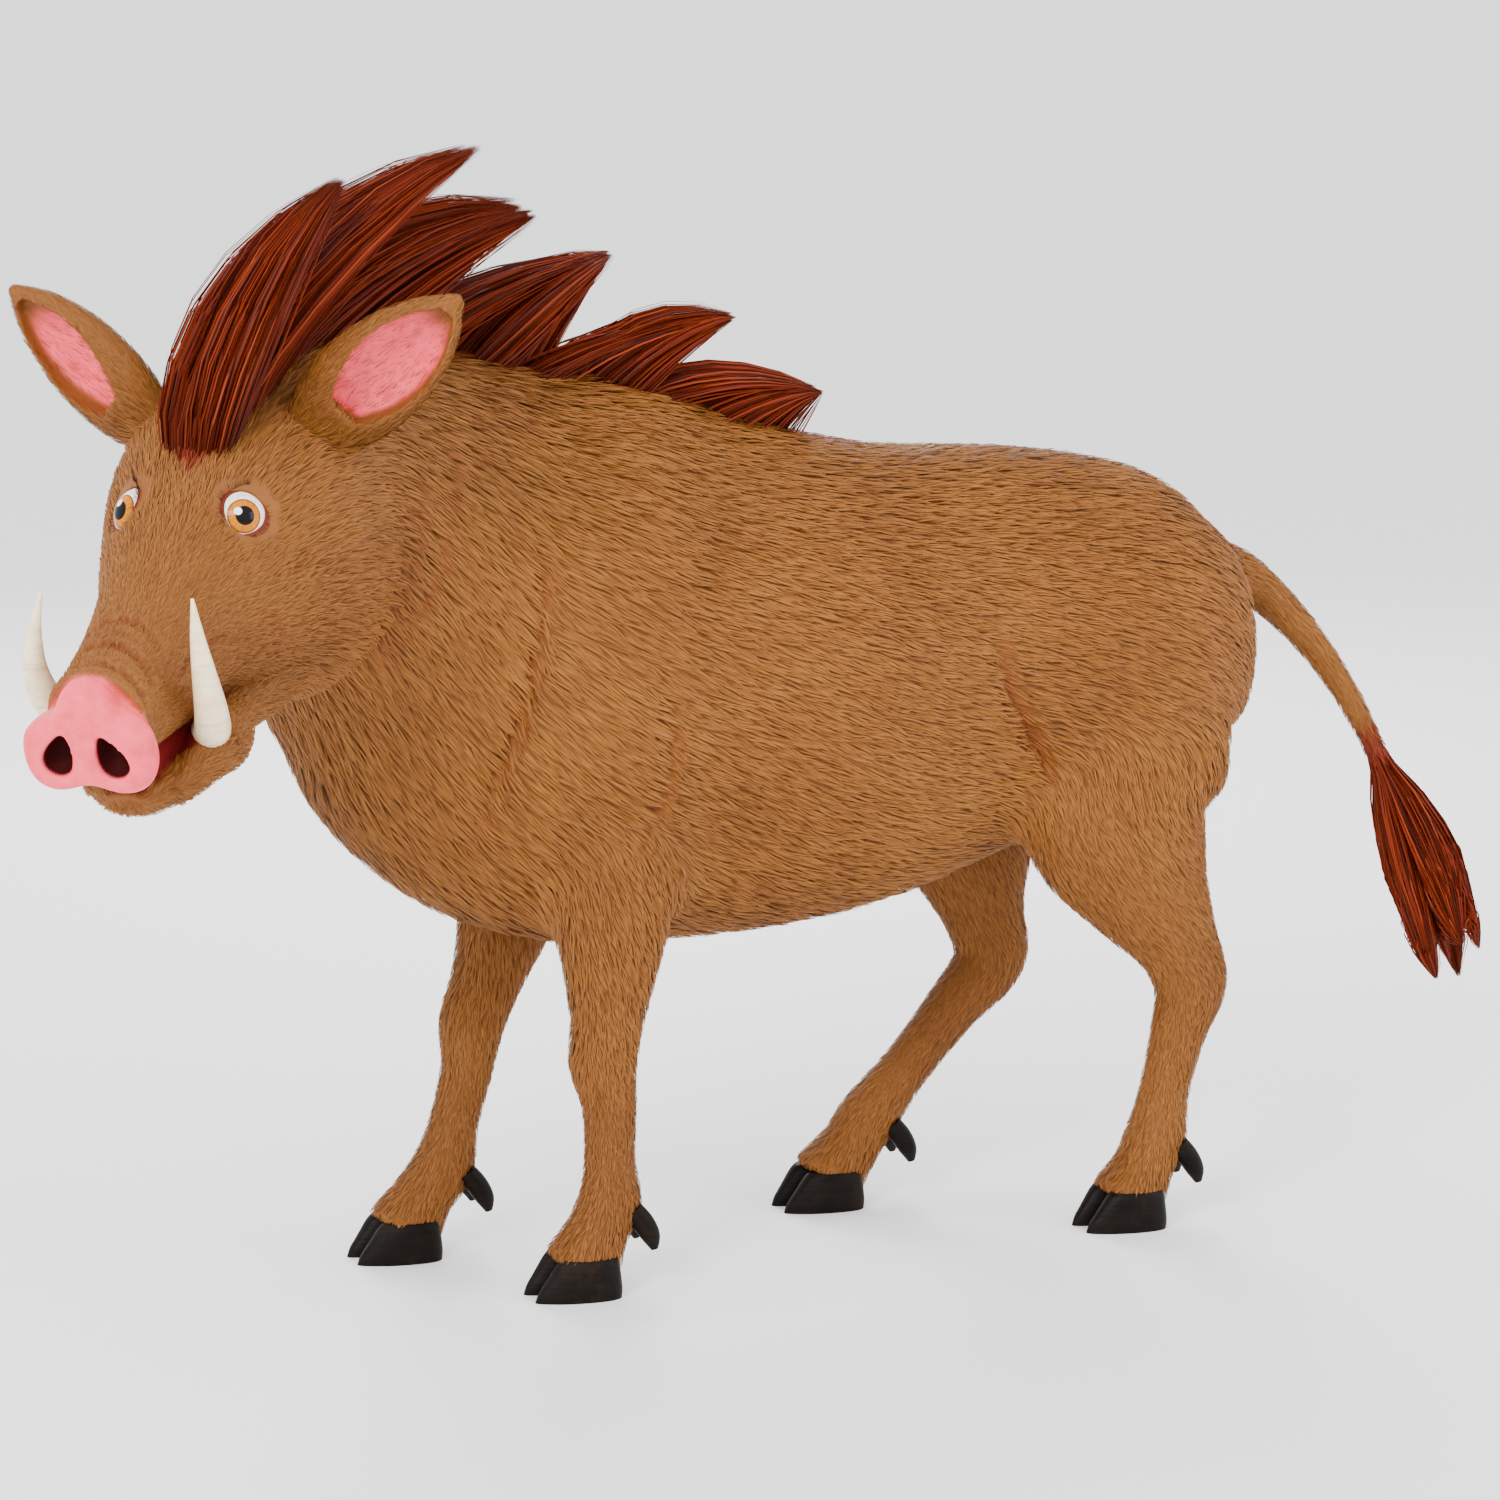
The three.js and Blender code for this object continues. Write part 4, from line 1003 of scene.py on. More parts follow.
def bristle_paint():
    paint = Paint("bristles", Roughness=0.55, Specular_IOR_Level=0.12)
    shade, along = paint.attributes("shade", "along")
    base = paint.ramp(shade, (0.0, RUSSET_DEEP), (0.45, RUSSET), (1.0, RUSSET_LIGHT))
    ends = paint.ramp(along, (0.0, 0.5), (0.35, 0.0), (0.8, 0.0), (1.0, 0.35))
    paint.set("Base Color", paint.mix(ends, base, RUSSET_DEEP))
    return paint.material


def skin_paint():
    paint = Paint("skin")
    dark, pink, wet = paint.attributes("dark", "pink", "wet")
    base = paint.mix(0.15, coat_colour(paint), GOLD_DEEP)
    base = paint.mix(dark, base, RUSSET)
    rose = paint.ramp(paint.noise(60, 5), (0.3, ROSE_DEEP), (0.6, ROSE))
    base = paint.mix(pink, base, rose)
    # Wet skin turns to the mouth's dark red; in the nostrils it turns to the nostril colour, which deep
    # inside them is painted shade.
    paint.set("Base Color", paint.mix(wet, base, paint.mix(pink, MOUTH, NOSTRIL)))
    bare = paint.node("Math", {0: pink, 1: wet}, operation="SUBTRACT").outputs[0]
    paint.set("Roughness", paint.ramp(bare, (0.0, 0.68), (1.0, 0.42)))
    paint.set("Specular IOR Level", paint.ramp(wet, (0.0, 0.3), (1.0, 0.06)))
    paint.bump(paint.noise(420, 3), 0.35, 0.0012)
    return paint.material


def tusk_paint():
    paint = Paint("ivory", Coat_Weight=0.3, Subsurface_Weight=0.08)
    rings = paint.noise(26, 4, stretch=(1, 1, 5))
    stops = (0.25, srgb(224, 192, 140)), (0.55, srgb(250, 230, 192)), (0.8, srgb(255, 242, 214))
    paint.set("Base Color", paint.ramp(rings, *stops))
    paint.set("Roughness", paint.ramp(rings, (0.2, 0.42), (0.7, 0.24)))
    paint.bump(paint.noise(90, 5, stretch=(1, 1, 6)), 0.25, 0.0008)
    return paint.material


def horn_paint():
    paint = Paint("hoof_horn", Specular_IOR_Level=0.08)
    wear = paint.noise(34, 6, 0.65)
    rings = paint.noise(20, 3, stretch=(1, 1, 14))
    base = paint.ramp(wear, (0.3, srgb(8, 5, 3)), (0.55, srgb(15, 10, 7)), (0.8, srgb(36, 25, 17)))
    paint.set("Base Color", paint.mix(paint.ramp(rings, (0.45, 0.0), (0.75, 0.35)), base, srgb(32, 22, 15)))
    paint.set("Roughness", paint.ramp(wear, (0.3, 0.38), (0.8, 0.66)))
    paint.bump(rings, 0.5, 0.0016)
    return paint.material


def eye_paint(name):
    """An eye painted by the angle from its gaze: fibres, a shaded rim, pupil, white and a round glint."""
    paint = Paint(name, Roughness=0.04, Specular_IOR_Level=0.13)
    polar, across, upward = paint.attributes("polar", "across", "upward")
    reach = paint.node("Math", {0: polar, 1: 60.0}, operation="DIVIDE").outputs[0]
    place = paint.node("CombineXYZ", {"X": across, "Y": upward, "Z": 0.0}).outputs[0]
    spoke = paint.node("VectorMath", {0: place}, operation="NORMALIZE").outputs[0]
    fibres = paint.noise(14, 5, 0.7, place=spoke)
    amber = paint.ramp(fibres, (0.3, srgb(128, 62, 0)), (0.5, srgb(188, 106, 0)), (0.72, srgb(220, 148, 4)))
    rims = (0.22, srgb(150, 84, 20)), (0.32, WHITE), (0.5, WHITE), (0.58, srgb(120, 62, 18))
    iris = paint.mix(1.0, amber, paint.ramp(reach, *rims), "MULTIPLY")
    white = paint.ramp(paint.noise(240, 5, 0.75), (0.35, srgb(222, 196, 184)), (0.55, srgb(244, 239, 232)))
    base = paint.mix(paint.ramp(reach, (0.575, 0.0), (0.6, 1.0)), iris, white)
    base = paint.mix(paint.ramp(reach, (0.3, 1.0), (0.315, 0.0)), base, PUPIL)
    glint = paint.node("VectorMath", {0: place, 1: (-0.17, 0.21, 0.0)}, operation="DISTANCE").outputs["Value"]
    paint.set("Base Color", paint.mix(paint.ramp(glint, (0.12, 1.0), (0.14, 0.0)), base, GLINT))
    return paint.material


HAIR_PAINT = {"coat": coat_paint(), "crest": bristle_paint()}
SKIN_PAINT = skin_paint()
skin.data.materials.append(SKIN_PAINT)

# ---------------- tufts

PATCH = 0.003  # side of a tuft's place on the coat's map
PIECE_TRIANGLES = 190000  # at most, in one piece of hair
LAY_LIMIT, CLUMP_LIMIT = 20 * MM, 9 * MM  # how far a tip moves at most, to the skin and to its neighbours
COAT_SHARE = 0.92  # of the density in the tables
SQUARE_CENTIMETRES = 1e4  # in a square metre
TUFT_ALONG = np.array([0, 0.38, 0.72, 1])
TUFT_RISE = np.array([-0.12, 0.62, 0.95, 1])
TUFT_WIDTH = np.array([0.8, 1, 0.7, 0])


def take_roots(mesh, flows, fields, share):
    """Roots spread over a mesh by the density field, each with its normal, its way and its fields."""
    points, normals, triangles = get_points(mesh), get_normals(mesh), triangles_of(mesh)
    a, b, c = (points[triangles[:, k]] for k in range(3))
    area = length_of(np.cross(b - a, c - a)) / 2
    total = np.cumsum(area * SQUARE_CENTIMETRES * fields[triangles, DENSITY].mean(1) * share)
    count = int(total[-1])
    face = np.searchsorted(total, (np.arange(count) + random.random(count)) * total[-1] / count)
    face = np.minimum(face, len(triangles) - 1)
    share_b, share_c = random.random((2, count))
    over = share_b + share_c > 1
    share_b[over], share_c[over] = 1 - share_b[over], 1 - share_c[over]
    weights = np.stack([1 - share_b - share_c, share_b, share_c], -1)[..., None]

    def mix(values):
        return (values[triangles[face]] * weights).sum(1)

    root_fields = fields[triangles[face, 0]]
    root_fields[:, LENGTH:] = mix(fields)[:, LENGTH:]
    normal = unit(mix(normals))
    flow = mix(flows)
    return mix(points), normal, unit(flow - normal * (flow * normal).sum(-1, keepdims=True)), root_fields


def ribbons(name, lines, sides, widths, uv, slot, shade, dark):
    """Blades along lines of stations, split into pieces. Each has a patch of the map at its root's place."""
    count, stations = lines.shape[:2]
    per = 2 * (stations - 1) + 1
    half = sides * widths[..., None] / 2
    points = np.empty((count, per, 3), np.float32)
    points[:, 0:-1:2] = lines[:, :-1] - half[:, :-1]
    points[:, 1:-1:2] = lines[:, :-1] + half[:, :-1]
    points[:, -1] = lines[:, -1]
    corner = np.zeros((per, 2))
    corner[:-1, 1] = np.linspace(0, 1, stations)[:-1].repeat(2)
    corner[1:-1:2, 0] = 1
    corner[-1] = (0.5, 1)
    quads = np.array([[2 * k, 2 * k + 1, 2 * k + 3, 2 * k + 2] for k in range(stations - 2)])
    tip = np.array([[per - 3, per - 2, per - 1]])
    each = PIECE_TRIANGLES // (2 * (stations - 2) + 1)
    for k, start in enumerate(range(0, count, each)):
        chosen = slice(start, start + each)
        n = len(lines[chosen])
        base = (np.arange(n) * per)[:, None, None]
        faces = [(shape[None] + base).reshape(-1, shape.shape[1]) for shape in (quads, tip)]
        piece = mesh_object(f"{name}_{k + 1}" if count > each else name, points[chosen].reshape(-1, 3), faces)
        patches = (uv[chosen, None] + (corner - 0.5)[None] * PATCH).reshape(-1, 2)
        corners = np.concatenate([f.ravel() for f in faces])
        layer = piece.data.uv_layers.new(name="OFBake")
        layer.data.foreach_set("uv", np.clip(patches[corners], 0, 1).astype(np.float32).ravel())
        shades, darks = (values[chosen].repeat(per) for values in (shade, dark))
        paint(piece.data, along=np.tile(corner[:, 1], n), shade=shades, dark=darks)
        finished(piece, slot, material=HAIR_PAINT[slot])


def limited(move, most):
    return move * np.minimum(1, most / np.maximum(length_of(move), 1e-9))[..., None]


def clumped(tips, roots):
    """How far each tip moves to come together with its neighbours' tips."""
    chosen = random.choice(len(roots), max(len(roots) // 7, 1), replace=False)
    mine = nearest(roots, point_tree(roots[chosen]))
    return limited(tips[chosen[mine]] - tips, CLUMP_LIMIT) * 0.6


def laid(tips, mesh, height):
    """How far each tip moves to lie at its height over the skin, also where the skin turns away under it."""
    cover = BVHTree.FromPolygons(get_points(mesh).tolist(), triangles_of(mesh).tolist())
    found = [cover.find_nearest(tip)[:2] for tip in tips.tolist()]
    under, out = (np.array(column) for column in zip(*found))
    return limited(under + out * height[:, None] - tips, LAY_LIMIT)


def short_coat(name, mesh, flows, fields, share):
    """Covers a mesh with short tufts that lie over it, some drawn together at their tips."""
    roots, normal, flow, values = take_roots(mesh, flows, fields, share)
    count = len(roots)

    def varied(column, amount):
        return values[:, column] * MM * (1 + amount * (2 * random.random(count) - 1))

    length = varied(LENGTH, 0.25)
    height = varied(HEIGHT, 0.4)
    side = np.cross(flow, normal)
    flow = unit(flow + side * (0.3 * (random.random(count) - 0.5))[:, None])
    side = np.cross(flow, normal)
    tips = roots + flow * length[:, None] + normal * height[:, None]
    lay = laid(tips, mesh, height)
    pull = lay + clumped(tips + lay, roots)
    lines = (
        roots[:, None]
        + flow[:, None] * (length[:, None] * TUFT_ALONG)[..., None]
        + normal[:, None] * (height[:, None] * TUFT_RISE)[..., None]
        + pull[:, None] * (TUFT_ALONG**1.5)[None, :, None]
    )
    sides = between((random.random(count) - 0.5) * 0.9, side, normal)[:, None]
    widths = varied(WIDTH, 0.25)[:, None] * TUFT_WIDTH
    ribbons(name, lines, sides, widths, values[:, :LENGTH], "coat", random.random(count), values[:, DARK])


short_coat("coat", skin.data, flows, fields, COAT_SHARE)

# ---------------- crest and tail tuft

CREST_POINTS = [12.4, 11.8, 11.15, 10.4, 9.2, 7.9, 6.5]  # stations of the locks
CREST_SWAYS = ([9.2, 10.4, 11.15, 11.8, 12.4], [0, 40, 46, 32, 14])  # stations, degrees to the left
CREST_SCALE = 1.36  # of a lock's height to the table's
CREST_TALL = 14.4  # percent, from where a lock leans back least
CREST_LEANS, CREST_BEND = (50, 32), 50  # degrees: lean of a low and a tall lock, bend on to the tip
LOCK_REACH, LOCK_ROUND = 0.56, 17  # share of the way to the next lock, and degrees round from the top
CLUMPS, BRISTLES, STIFF = 15, (170), 7  # in a lock, in a clump, stations of a bristle
# Station of the tip, degrees round the tail and mm aside.
TUFT_CLUMPS = [(8.3, 40, 18), (7.9, 112, 34), (7.6, 184, 40), (8.1, 256, 28), (7.75, 328, 38)]
TUFT_BRISTLES = 620


def atlas(cell, loft, t, angle):
    """A place's spot on the coat's map."""
    round_ = ((np.degrees(angle) + 90) % 360) / 360
    return np.stack([cell[0] + cell[2] * t / loft.last, cell[1] + cell[3] * round_], -1)


def rising(root, normal, back, length, lean, bend, sway):
    """Curved bristles that leave their roots leaning back and swaying to the left, and bend on to the tip."""
    share = np.linspace(0, 1, STIFF)
    left = unit(np.cross(back, normal))
    step = between(lean[:, None] + bend[:, None] * share[None] ** 1.2, normal[:, None], back[:, None])
    step = unit(step + left[:, None] * np.tan(sway[:, None] * (0.4 + 1.2 * share))[..., None])
    step = step * (length[:, None] / (STIFF - 1))[..., None]
    return np.concatenate([root[:, None], root[:, None] + np.cumsum(step[:, :-1], 1)], 1)


def gathered(lines, tip, share, power):
    """Lines drawn together so that their ends come near a point."""
    along = np.linspace(0, 1, lines.shape[1]) ** power
    return lines + (tip - lines[:, -1])[:, None] * (share * along)[None, :, None]


def crest_lock(station, ahead, behind):
    """One pointed lock of the crest, made of clumps of bristles whose tips come together."""
    height = CREST_SCALE * float(trunk.value("crest", station))
    upright = min(height / CREST_TALL, 1)
    n = BRISTLES
    groups, places = [], []
    for k in range(CLUMPS):
        before = (k + random.uniform(0.1, 0.9)) / CLUMPS * 2 - 1
        t = station + (ahead if before > 0 else behind) * before * LOCK_REACH
        turn = random.uniform(-10, 10)
        ts = np.clip(t + 0.07 * random.normal(size=n), CREST_END - 0.25, CREST_START + 0.12)
        turns = np.clip(turn + 4 * random.normal(size=n), -LOCK_ROUND, LOCK_ROUND)
        angle = np.radians(90 + turns)
        root, normal, forward = trunk.surface(ts, angle)
        tall = height * PERCENT * (1 - 0.34 * abs(before)) * random.uniform(0.78, 1.0)
        tall = tall * random.uniform(0.84, 1.0, n)
        lean = lerp(*CREST_LEANS, upright) + 12 * before + random.uniform(-4, 4)
        leans = np.radians(lean + random.uniform(-4, 4, n))
        bends = np.radians(CREST_BEND + random.uniform(-6, 6, n))
        length = tall / np.cos(np.minimum(leans + bends * 0.45, 1.25))
        left = unit(np.cross(normal, -forward))
        normal = unit(normal + left * np.radians(turns * 0.25)[:, None])
        sway = np.radians(np.interp(ts, *CREST_SWAYS) + random.uniform(-3, 3, n))
        lines = rising(root - normal * 5 * MM, normal, -forward, length, leans, bends, sway)
        groups.append(gathered(lines, lines[:, -1].mean(0), share=0.55, power=1.8))
        places.append(atlas(TRUNK_CELL, trunk, ts, angle))
    lines = np.concatenate(groups)
    way = unit((lines[:, -1] - lines[:, 0]).mean(0))
    ends = np.array([group[:, -1].mean(0) for group in groups])
    tip = ends[np.argmax(ends @ way)] + way * 0.06 * height * PERCENT
    return gathered(lines, tip, share=0.88, power=1.9), np.concatenate(places)


def tail_place(t, angle, out):
    """A place at a distance from the tail's middle line, also beyond its end."""
    inside = np.minimum(t, tail.last)
    centre, along, left, up = tail.frame(inside)
    step = np.linalg.norm(tail.centre(tail.last) - tail.centre(tail.last - 1))
    return centre + along * ((t - inside) * step)[..., None] + between(angle, left, up) * out[..., None]


def tuft_clump(end, degrees, aside):
    """One lock of the tail's tuft, with its tip at a station, at degrees round the tail and at mm aside."""
    n = TUFT_BRISTLES
    start = TUFT + 0.1 + 2.8 * random.random(n) ** 1.2
    angle = np.radians(degrees + 36 * random.uniform(-1, 1, n))
    finish = end - 0.5 * random.random(n) ** 2
    share = np.linspace(0, 1, 8)[None]
    t = start[:, None] + (finish - start)[:, None] * share
    root = tail.value("side", start)[:, None] * PERCENT * 0.7
    bulge = np.interp(t, [TUFT, 5.6, 6.6, 7.6, 8.4], [12, 28, 40, 37, 22]) * MM
    bulge = bulge * (0.7 + 0.4 * random.random(n))[:, None]
    out = root * (1 - share) ** 3 + bulge * np.minimum(1, share * 3.0)
    lines = tail_place(t, np.broadcast_to(angle[:, None], t.shape), out)
    tip = tail_place(*(np.array([v]) for v in (end, math.radians(degrees), aside * MM)))[0]
    return gathered(lines, tip, share=0.86, power=2.2), atlas(TAIL_CELL, tail, start, angle)


def bristle_sides(lines):
    """A random way across each stretch of each bristle."""
    way = unit(lines[:, 1:] - lines[:, :-1])
    across = unit(np.cross(way, unit(random.normal(size=(len(lines), 3)))[:, None]))
    return np.concatenate([across, across[:, -1:]], 1)


def bristle_pieces(name, groups, width):
    lines, uv = (np.concatenate(column) for column in zip(*groups))
    count, stations = lines.shape[:2]
    sides = bristle_sides(lines)
    taper = np.interp(np.linspace(0, 1, stations), [0, 0.2, 0.6, 1], [0.9, 1, 0.8, 0])
    widths = width * MM * (0.8 + 0.5 * random.random(count))[:, None] * taper[None]
    ribbons(name, lines, sides, widths, uv, "crest", random.random(count), np.ones(count))


steps = -np.diff([CREST_POINTS[0] + 0.25, *CREST_POINTS, CREST_END - 0.3])
bristle_pieces("crest", [crest_lock(*lock) for lock in zip(CREST_POINTS, steps[:-1], steps[1:])], 1.7)
bristle_pieces("tuft", [tuft_clump(*clump) for clump in TUFT_CLUMPS], 1.6)

# ---------------- tusks, hooves and dewclaws


def tusk(side):
    rows = [
        (29.0, 2.2, -8.6, 1.3),
        (31.8, 3.6, -8.2, 1.6),
        (34.6, 5.2, -7.0, 1.8),
        (37.2, 6.9, -4.8, 1.7),
        (39.2, 8.0, -1.5, 1.5),
        (39.9, 8.3, 2.1, 1.15),
        (39.3, 8.0, 5.6, 0.7),
        (37.7, 7.4, 8.8, 0.14),
    ]
    return head_horn(side, rows, 1.08, 0.96)


def hoof(x, y, degrees):
    """A main hoof: a blunt wedge with a worn edge round its flat sole."""
    sections = [
        (CORONET + 0.2, 1.72, 3.4, 2.8, 2.4, 0.3),
        (CORONET - 0.4, 1.96, 4.0, 3.05, 2.5, 0.32),
        (3.0, 2.06, 4.7, 3.2, 2.6, 0.35),
        (2.0, 2.12, 5.4, 3.32, 2.6, 0.39),
        (1.0, 2.14, 6.1, 3.4, 2.6, 0.43),
        (0.0, 2.04, 6.5, 3.32, 2.6, 0.48),
    ]
    way = np.array([math.cos(math.radians(degrees)), math.sin(math.radians(degrees)), 0])
    return Loft("x y z side above below square ridge", [[x, y, *section] for section in sections], top=-way)


def dewclaw(x, y, outward):
    rows = [
        [x + 2.3, y, 9.5, 1.1, 1.2, 1.1],
        [x + 3.5, y + 0.2 * outward, 7.9, 1.2, 1.3, 1.2],
        [x + 4.3, y + 0.4 * outward, 6.2, 1.0, 1.0, 1.1],
        [x + 4.7, y + 0.5 * outward, 4.8, 0.4, 0.4, 0.45],
    ]
    return Loft("x y z side above below", rows, top=FORWARD)


TUSK_PAINT, HORN_PAINT = tusk_paint(), horn_paint()
for name, side in SIDES.items():
    ivory = loft_object(f"tusk_{name}_ivory", tusk(side), rings=110, segments=40)
    finished(ivory, "tusk", f"tusk_{name}", material=TUSK_PAINT)
for name, (side, foot_x, fetlock, loft) in LEGS.items():
    for place, outward in (("outer", -side), ("inner", side)):
        foot_y = -side * FOOT_SPREAD
        claw = dewclaw(float(loft.value("x", fetlock)), foot_y + 2.1 * outward, outward)
        main = hoof(foot_x - 2.6, foot_y + 2.3 * outward, 5 * outward)
        for kind, shape, segments in (("hoof", main, 64), ("dewclaw", claw, 24)):
            node = f"{name}_{kind}_{place}"
            horn = loft_object(f"{node}_horn", shape, rings=30, segments=segments)
            finished(horn, "hoof", node, material=HORN_PAINT)

# ---------------- eyes

VIEWER = np.array([math.sin(math.radians(CAMERA_TURN)), -math.cos(math.radians(CAMERA_TURN)), 0.1])
EYE_TILT = 10  # degrees by which the corner in front sits lower
LID_ROUND, LID_RINGS, LASH_RING = 128, 34, 4
LID_WIDE, LID_UP, LID_DOWN = 56, 54, 42  # the opening's half width and its reach up and down, degrees
LID_AWAY = 0.08  # how far out of the eye's middle the search for the skin starts
LID_GROUND = 0.085  # reach of the skin that is searched, from the eye's middle
LID_TUFT, LID_DENSITY = [5.5, 0.5, 1.2], 34  # length, width and height in mm, and tufts per square centimetre
CORNEA = 0.9 * MM  # how far it stands out of the ball


def eye_axes(side):
    """The eye's middle, and the ways forward, up and out at it."""
    middle, out = eye_frame(side)
    forward = unit(HEAD_FORWARD - out * (HEAD_FORWARD @ out))
    up = np.cross(out, forward)
    up = up if up @ HEAD_UP > 0 else -up
    tilt = math.radians(EYE_TILT)
    ahead = forward * math.cos(tilt) - up * math.sin(tilt)
    return middle, ahead, up * math.cos(tilt) + forward * math.sin(tilt), out


def eyeball(name, side):
    middle, _, _, out = eye_axes(side)
    gaze = unit(out + 0.3 * VIEWER + 0.15 * HEAD_FORWARD - 0.05 * UP)
    x_axis = np.cross(HEAD_UP, gaze)
    eye = ball_object(f"eyeball_{name}", np.zeros(3), [EYEBALL] * 3, x_axis, gaze, rings=72)
    place = get_points(eye.data)
    across, upward, ahead = (place @ axes_of(x_axis, gaze)).T
    polar = np.degrees(np.arctan2(np.hypot(across, upward), ahead))
    bulge = CORNEA * falling(6, 33, polar)
    set_points(eye.data, place * (1 + bulge / EYEBALL)[:, None] + middle)
    paint(eye.data, polar=polar, across=across / EYEBALL, upward=upward / EYEBALL)
    eye.data.polygons.foreach_set("use_smooth", np.ones(len(eye.data.polygons), bool))
    finished(eye, "eye", f"eye_{name}", material=eye_paint(f"eye_{name}"))


def lid_points(side, skin_tree):
    """Rings of the lids from the opening's edge out to the skin, with each ring's share of the way."""
    middle, forward, up, out = eye_axes(side)
    turn = np.linspace(0, 2 * np.pi, LID_ROUND, endpoint=False)[None]
    tall = np.where(np.sin(turn) > 0, LID_UP, LID_DOWN)
    opening = (np.abs(np.cos(turn) / LID_WIDE) ** 1.8 + np.abs(np.sin(turn) / tall) ** 1.8) ** (-1 / 1.8)
    share = np.concatenate([[-0.12, -0.06, 0.0, 0.015, 0.04], np.linspace(0.07, 1, LID_RINGS - 5)])[:, None]
    away = between(turn, forward, up)
    polar = np.radians(opening + 40 * np.minimum(share, 0) + 44 * np.maximum(share, 0))
    thick_at = [-0.12, -0.06, 0.0, 0.015, 0.04, 0.1, 0.2, 1]
    thick = np.interp(share, thick_at, [-0.6, 0.1, 0.6, 1.5, 2.1, 2.5, 2.6, 1.0])
    upper, lower = np.maximum(np.sin(turn), 0) ** 0.5, np.maximum(-np.sin(turn), 0) ** 0.7
    crease = -1.5 * upper * hump((share - 0.3) / 0.05) + 1.0 * upper * hump((share - 0.42) / 0.08)
    for place, deep in ((0.26, 1.0), (0.46, 1.3)):
        crease = crease - deep * lower * hump((share - place) / 0.04)
        crease = crease + 0.8 * lower * hump((share - place - 0.09) / 0.05)
    radius = EYEBALL + (thick + crease) * MM
    over_ball = middle + radius[..., None] * between(polar, out, away)
    wide = lerp(22, 44, np.clip(share, 0, 1)) * MM
    start = middle + out * LID_AWAY + away * wide[..., None]
    inward = Vector(-out)
    places = start.reshape(-1, 3)
    hits = [skin_tree.ray_cast(Vector(p), inward)[0] or Vector(p - out * LID_AWAY) for p in places]
    sunk = np.interp(share, [0, 0.8, 1], [-0.8, -0.6, 1.6]) - crease * np.exp(-((share - 0.4) ** 2) / 0.05)
    over_skin = np.array(hits).reshape(start.shape) - out * (sunk * MM)[..., None]
    points = lerp(over_ball, over_skin, smoothstep(0.2, 0.85, share)[..., None])
    aways = np.broadcast_to(away, points.shape).reshape(-1, 3)
    return points, np.broadcast_to(share, polar.shape).ravel(), aways


def lids(name, side, skin_tree):
    points, share, away = lid_points(side, skin_tree)
    faces = grid_faces(LID_RINGS, LID_ROUND)
    flat = points.reshape(-1, 3)
    first = flat[faces[len(faces) // 2]]
    if np.cross(first[1] - first[0], first[2] - first[0]) @ eye_axes(side)[3] < 0:
        faces = faces[:, ::-1]
    lid = mesh_object(f"lids_{name}", flat, [faces])
    values = source_tables[nearest(flat, source_tree)]
    values[:, LENGTH:DENSITY] = LID_TUFT
    values[:, DENSITY] = LID_DENSITY * smoothstep(0.1, 0.24, share) * falling(0.9, 0.97, share)
    edge = falling(0.04, 0.13, share)
    values[:, DARK] = np.maximum(values[:, DARK], 0.6 * edge + 0.3 * falling(0.1, 0.8, share))
    paint(lid.data, dark=values[:, DARK], pink=np.zeros(len(flat)), wet=edge * 0.25)
    finished(lid, "coat", material=SKIN_PAINT)
    short_coat(f"lid_coat_{name}", lid.data, away * 0.8 - HEAD_FORWARD, values, 1.0)
    lashes(name, side, points[LASH_RING])


def lashes(name, side, ring):
    """Dark lashes along the upper lid, and a few short ones along the lower."""
    _, forward, up, out = eye_axes(side)
    turn = np.concatenate([random.uniform(0.12, 0.88, 90) * np.pi, random.uniform(1.2, 1.8, 26) * np.pi])
    count = len(turn)
    root = ring[np.round(turn / (2 * np.pi) * LID_ROUND).astype(int) % LID_ROUND]
    length = np.where(turn < np.pi, random.uniform(9, 15, count), random.uniform(4, 6, count)) * MM
    share = np.linspace(0, 1, 6)
    outward = (length[:, None] * (share - 0.35 * share**2))[..., None] * out
    away = between(turn, forward, up)[:, None]
    aside = (length[:, None] * (0.25 * share + 0.6 * share**2))[..., None] * away
    lines = root[:, None] - out * 0.4 * MM + outward + aside
    sides = bristle_sides(lines)
    widths = np.full((count, 1), 0.5 * MM) * np.array([1, 1, 0.9, 0.7, 0.4, 0])
    uv = atlas(TRUNK_CELL, trunk, np.full(count, EYE_AT), np.full(count, side_angle(side, EYE_ANGLE)))
    ribbons(f"lashes_{name}", lines, sides, widths, uv, "crest", np.zeros(count), np.ones(count))


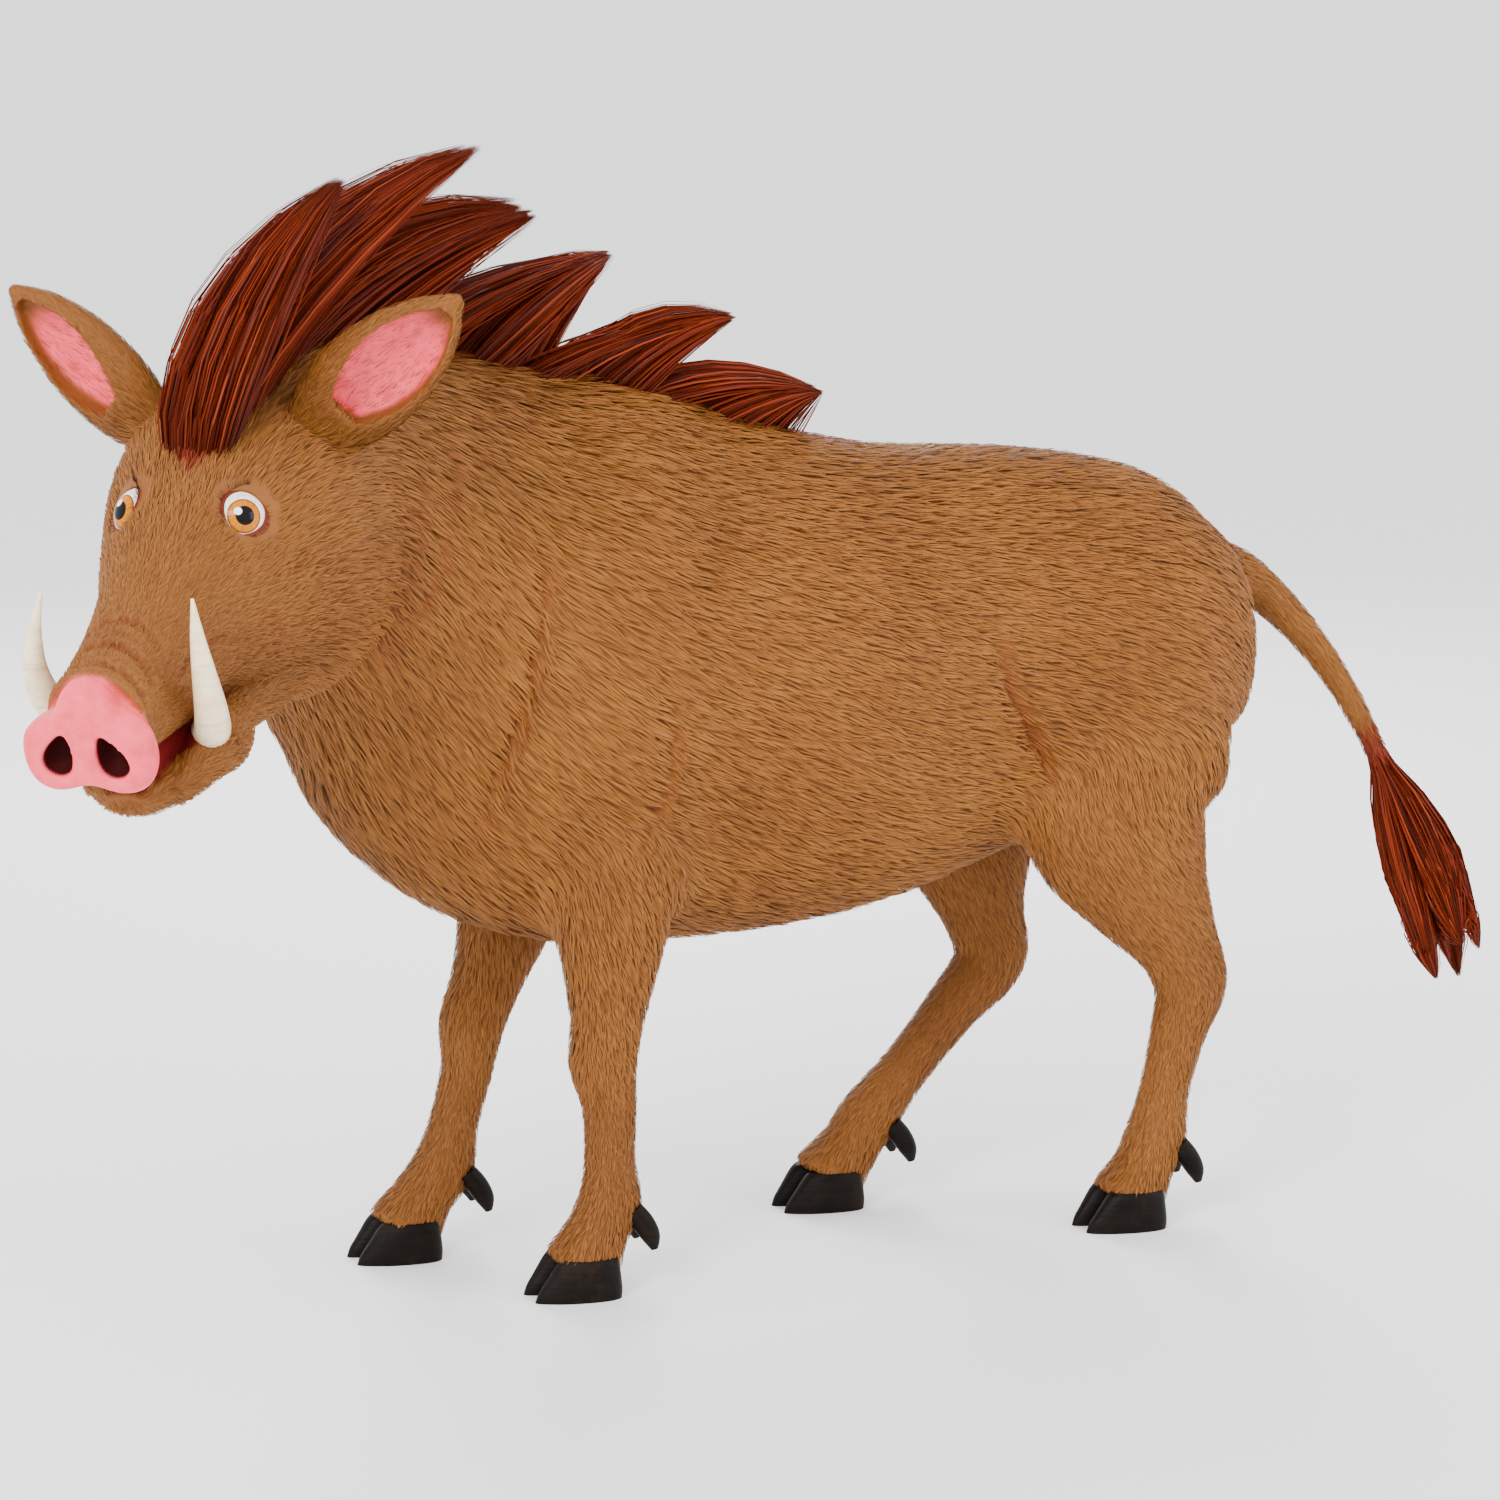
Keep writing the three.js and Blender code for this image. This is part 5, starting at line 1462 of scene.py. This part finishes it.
def tree_near(mesh, place, reach):
    points, triangles = get_points(mesh), triangles_of(mesh)
    close = (length_of(points - place) < reach)[triangles].all(1)
    return BVHTree.FromPolygons(points.tolist(), triangles[close].tolist())


for name, side in SIDES.items():
    eyeball(name, side)
    lids(name, side, tree_near(skin.data, eye_frame(side)[0], LID_GROUND))

# ---------------- camera, floor and light

FLOOR_REACH = 1500  # from its middle to each side


def aimed(obj, place, way):
    obj.location = place
    obj.rotation_euler = Vector(way).to_track_quat("-Z", "Y").to_euler()


az, el = math.radians(CAMERA_TURN), math.radians(CAMERA_RISE)
towards = np.array([math.sin(az) * math.cos(el), -math.cos(az) * math.cos(el), math.sin(el)])
camera = linked("camera", bpy.data.cameras.new("camera"))
aimed(camera, CAMERA_AIM + towards * CAMERA_DISTANCE, -towards)
camera.data.lens = 110
camera.data.sensor_width = 36
camera.data.clip_end = 4000
bpy.context.scene.camera = camera

corners = [[x * FLOOR_REACH, y * FLOOR_REACH, 0.0] for x, y in ((-1, -1), (1, -1), (1, 1), (-1, 1))]
floor = mesh_object("floor", np.array(corners), [np.array([[0, 1, 2, 3]])])
floor.data.materials.append(Paint("floor", Base_Color=(0.88, 0.87, 0.86, 1), Roughness=0.7).material)

world = bpy.data.worlds.new("studio")
world.use_nodes = True
background = world.node_tree.nodes["Background"].inputs
background["Color"].default_value = (0.95, 0.97, 1, 1)
background["Strength"].default_value = 2.1
bpy.context.scene.world = world


def area_light(name, place, target, size, power, colour=(1, 1, 1)):
    light = bpy.data.lights.new(name, "AREA")
    light.energy, light.size, light.color = power, size, colour
    aimed(linked(name, light), place, Vector(target) - Vector(place))


area_light("key", (-3.8, -3.0, 3.6), (0, 0, 0.5), 1.8, 300, (1, 0.97, 0.92))
area_light("fill", (3.2, -2.6, 2.0), (0, 0, 0.5), 2.4, 90)
area_light("rim", (1.2, 3.6, 2.8), (0, 0, 0.6), 1.6, 140)

# ---------------- hand-over

FLESH = ["torso", "neck", "head", "jaw", "snout_disc", "ear_left", "ear_right", "tail", "tail_tuft"]
FLESH += [f"{leg}_{part}" for leg in LEGS for part in ("upper", "lower")]
finished(skin, "coat", *FLESH)
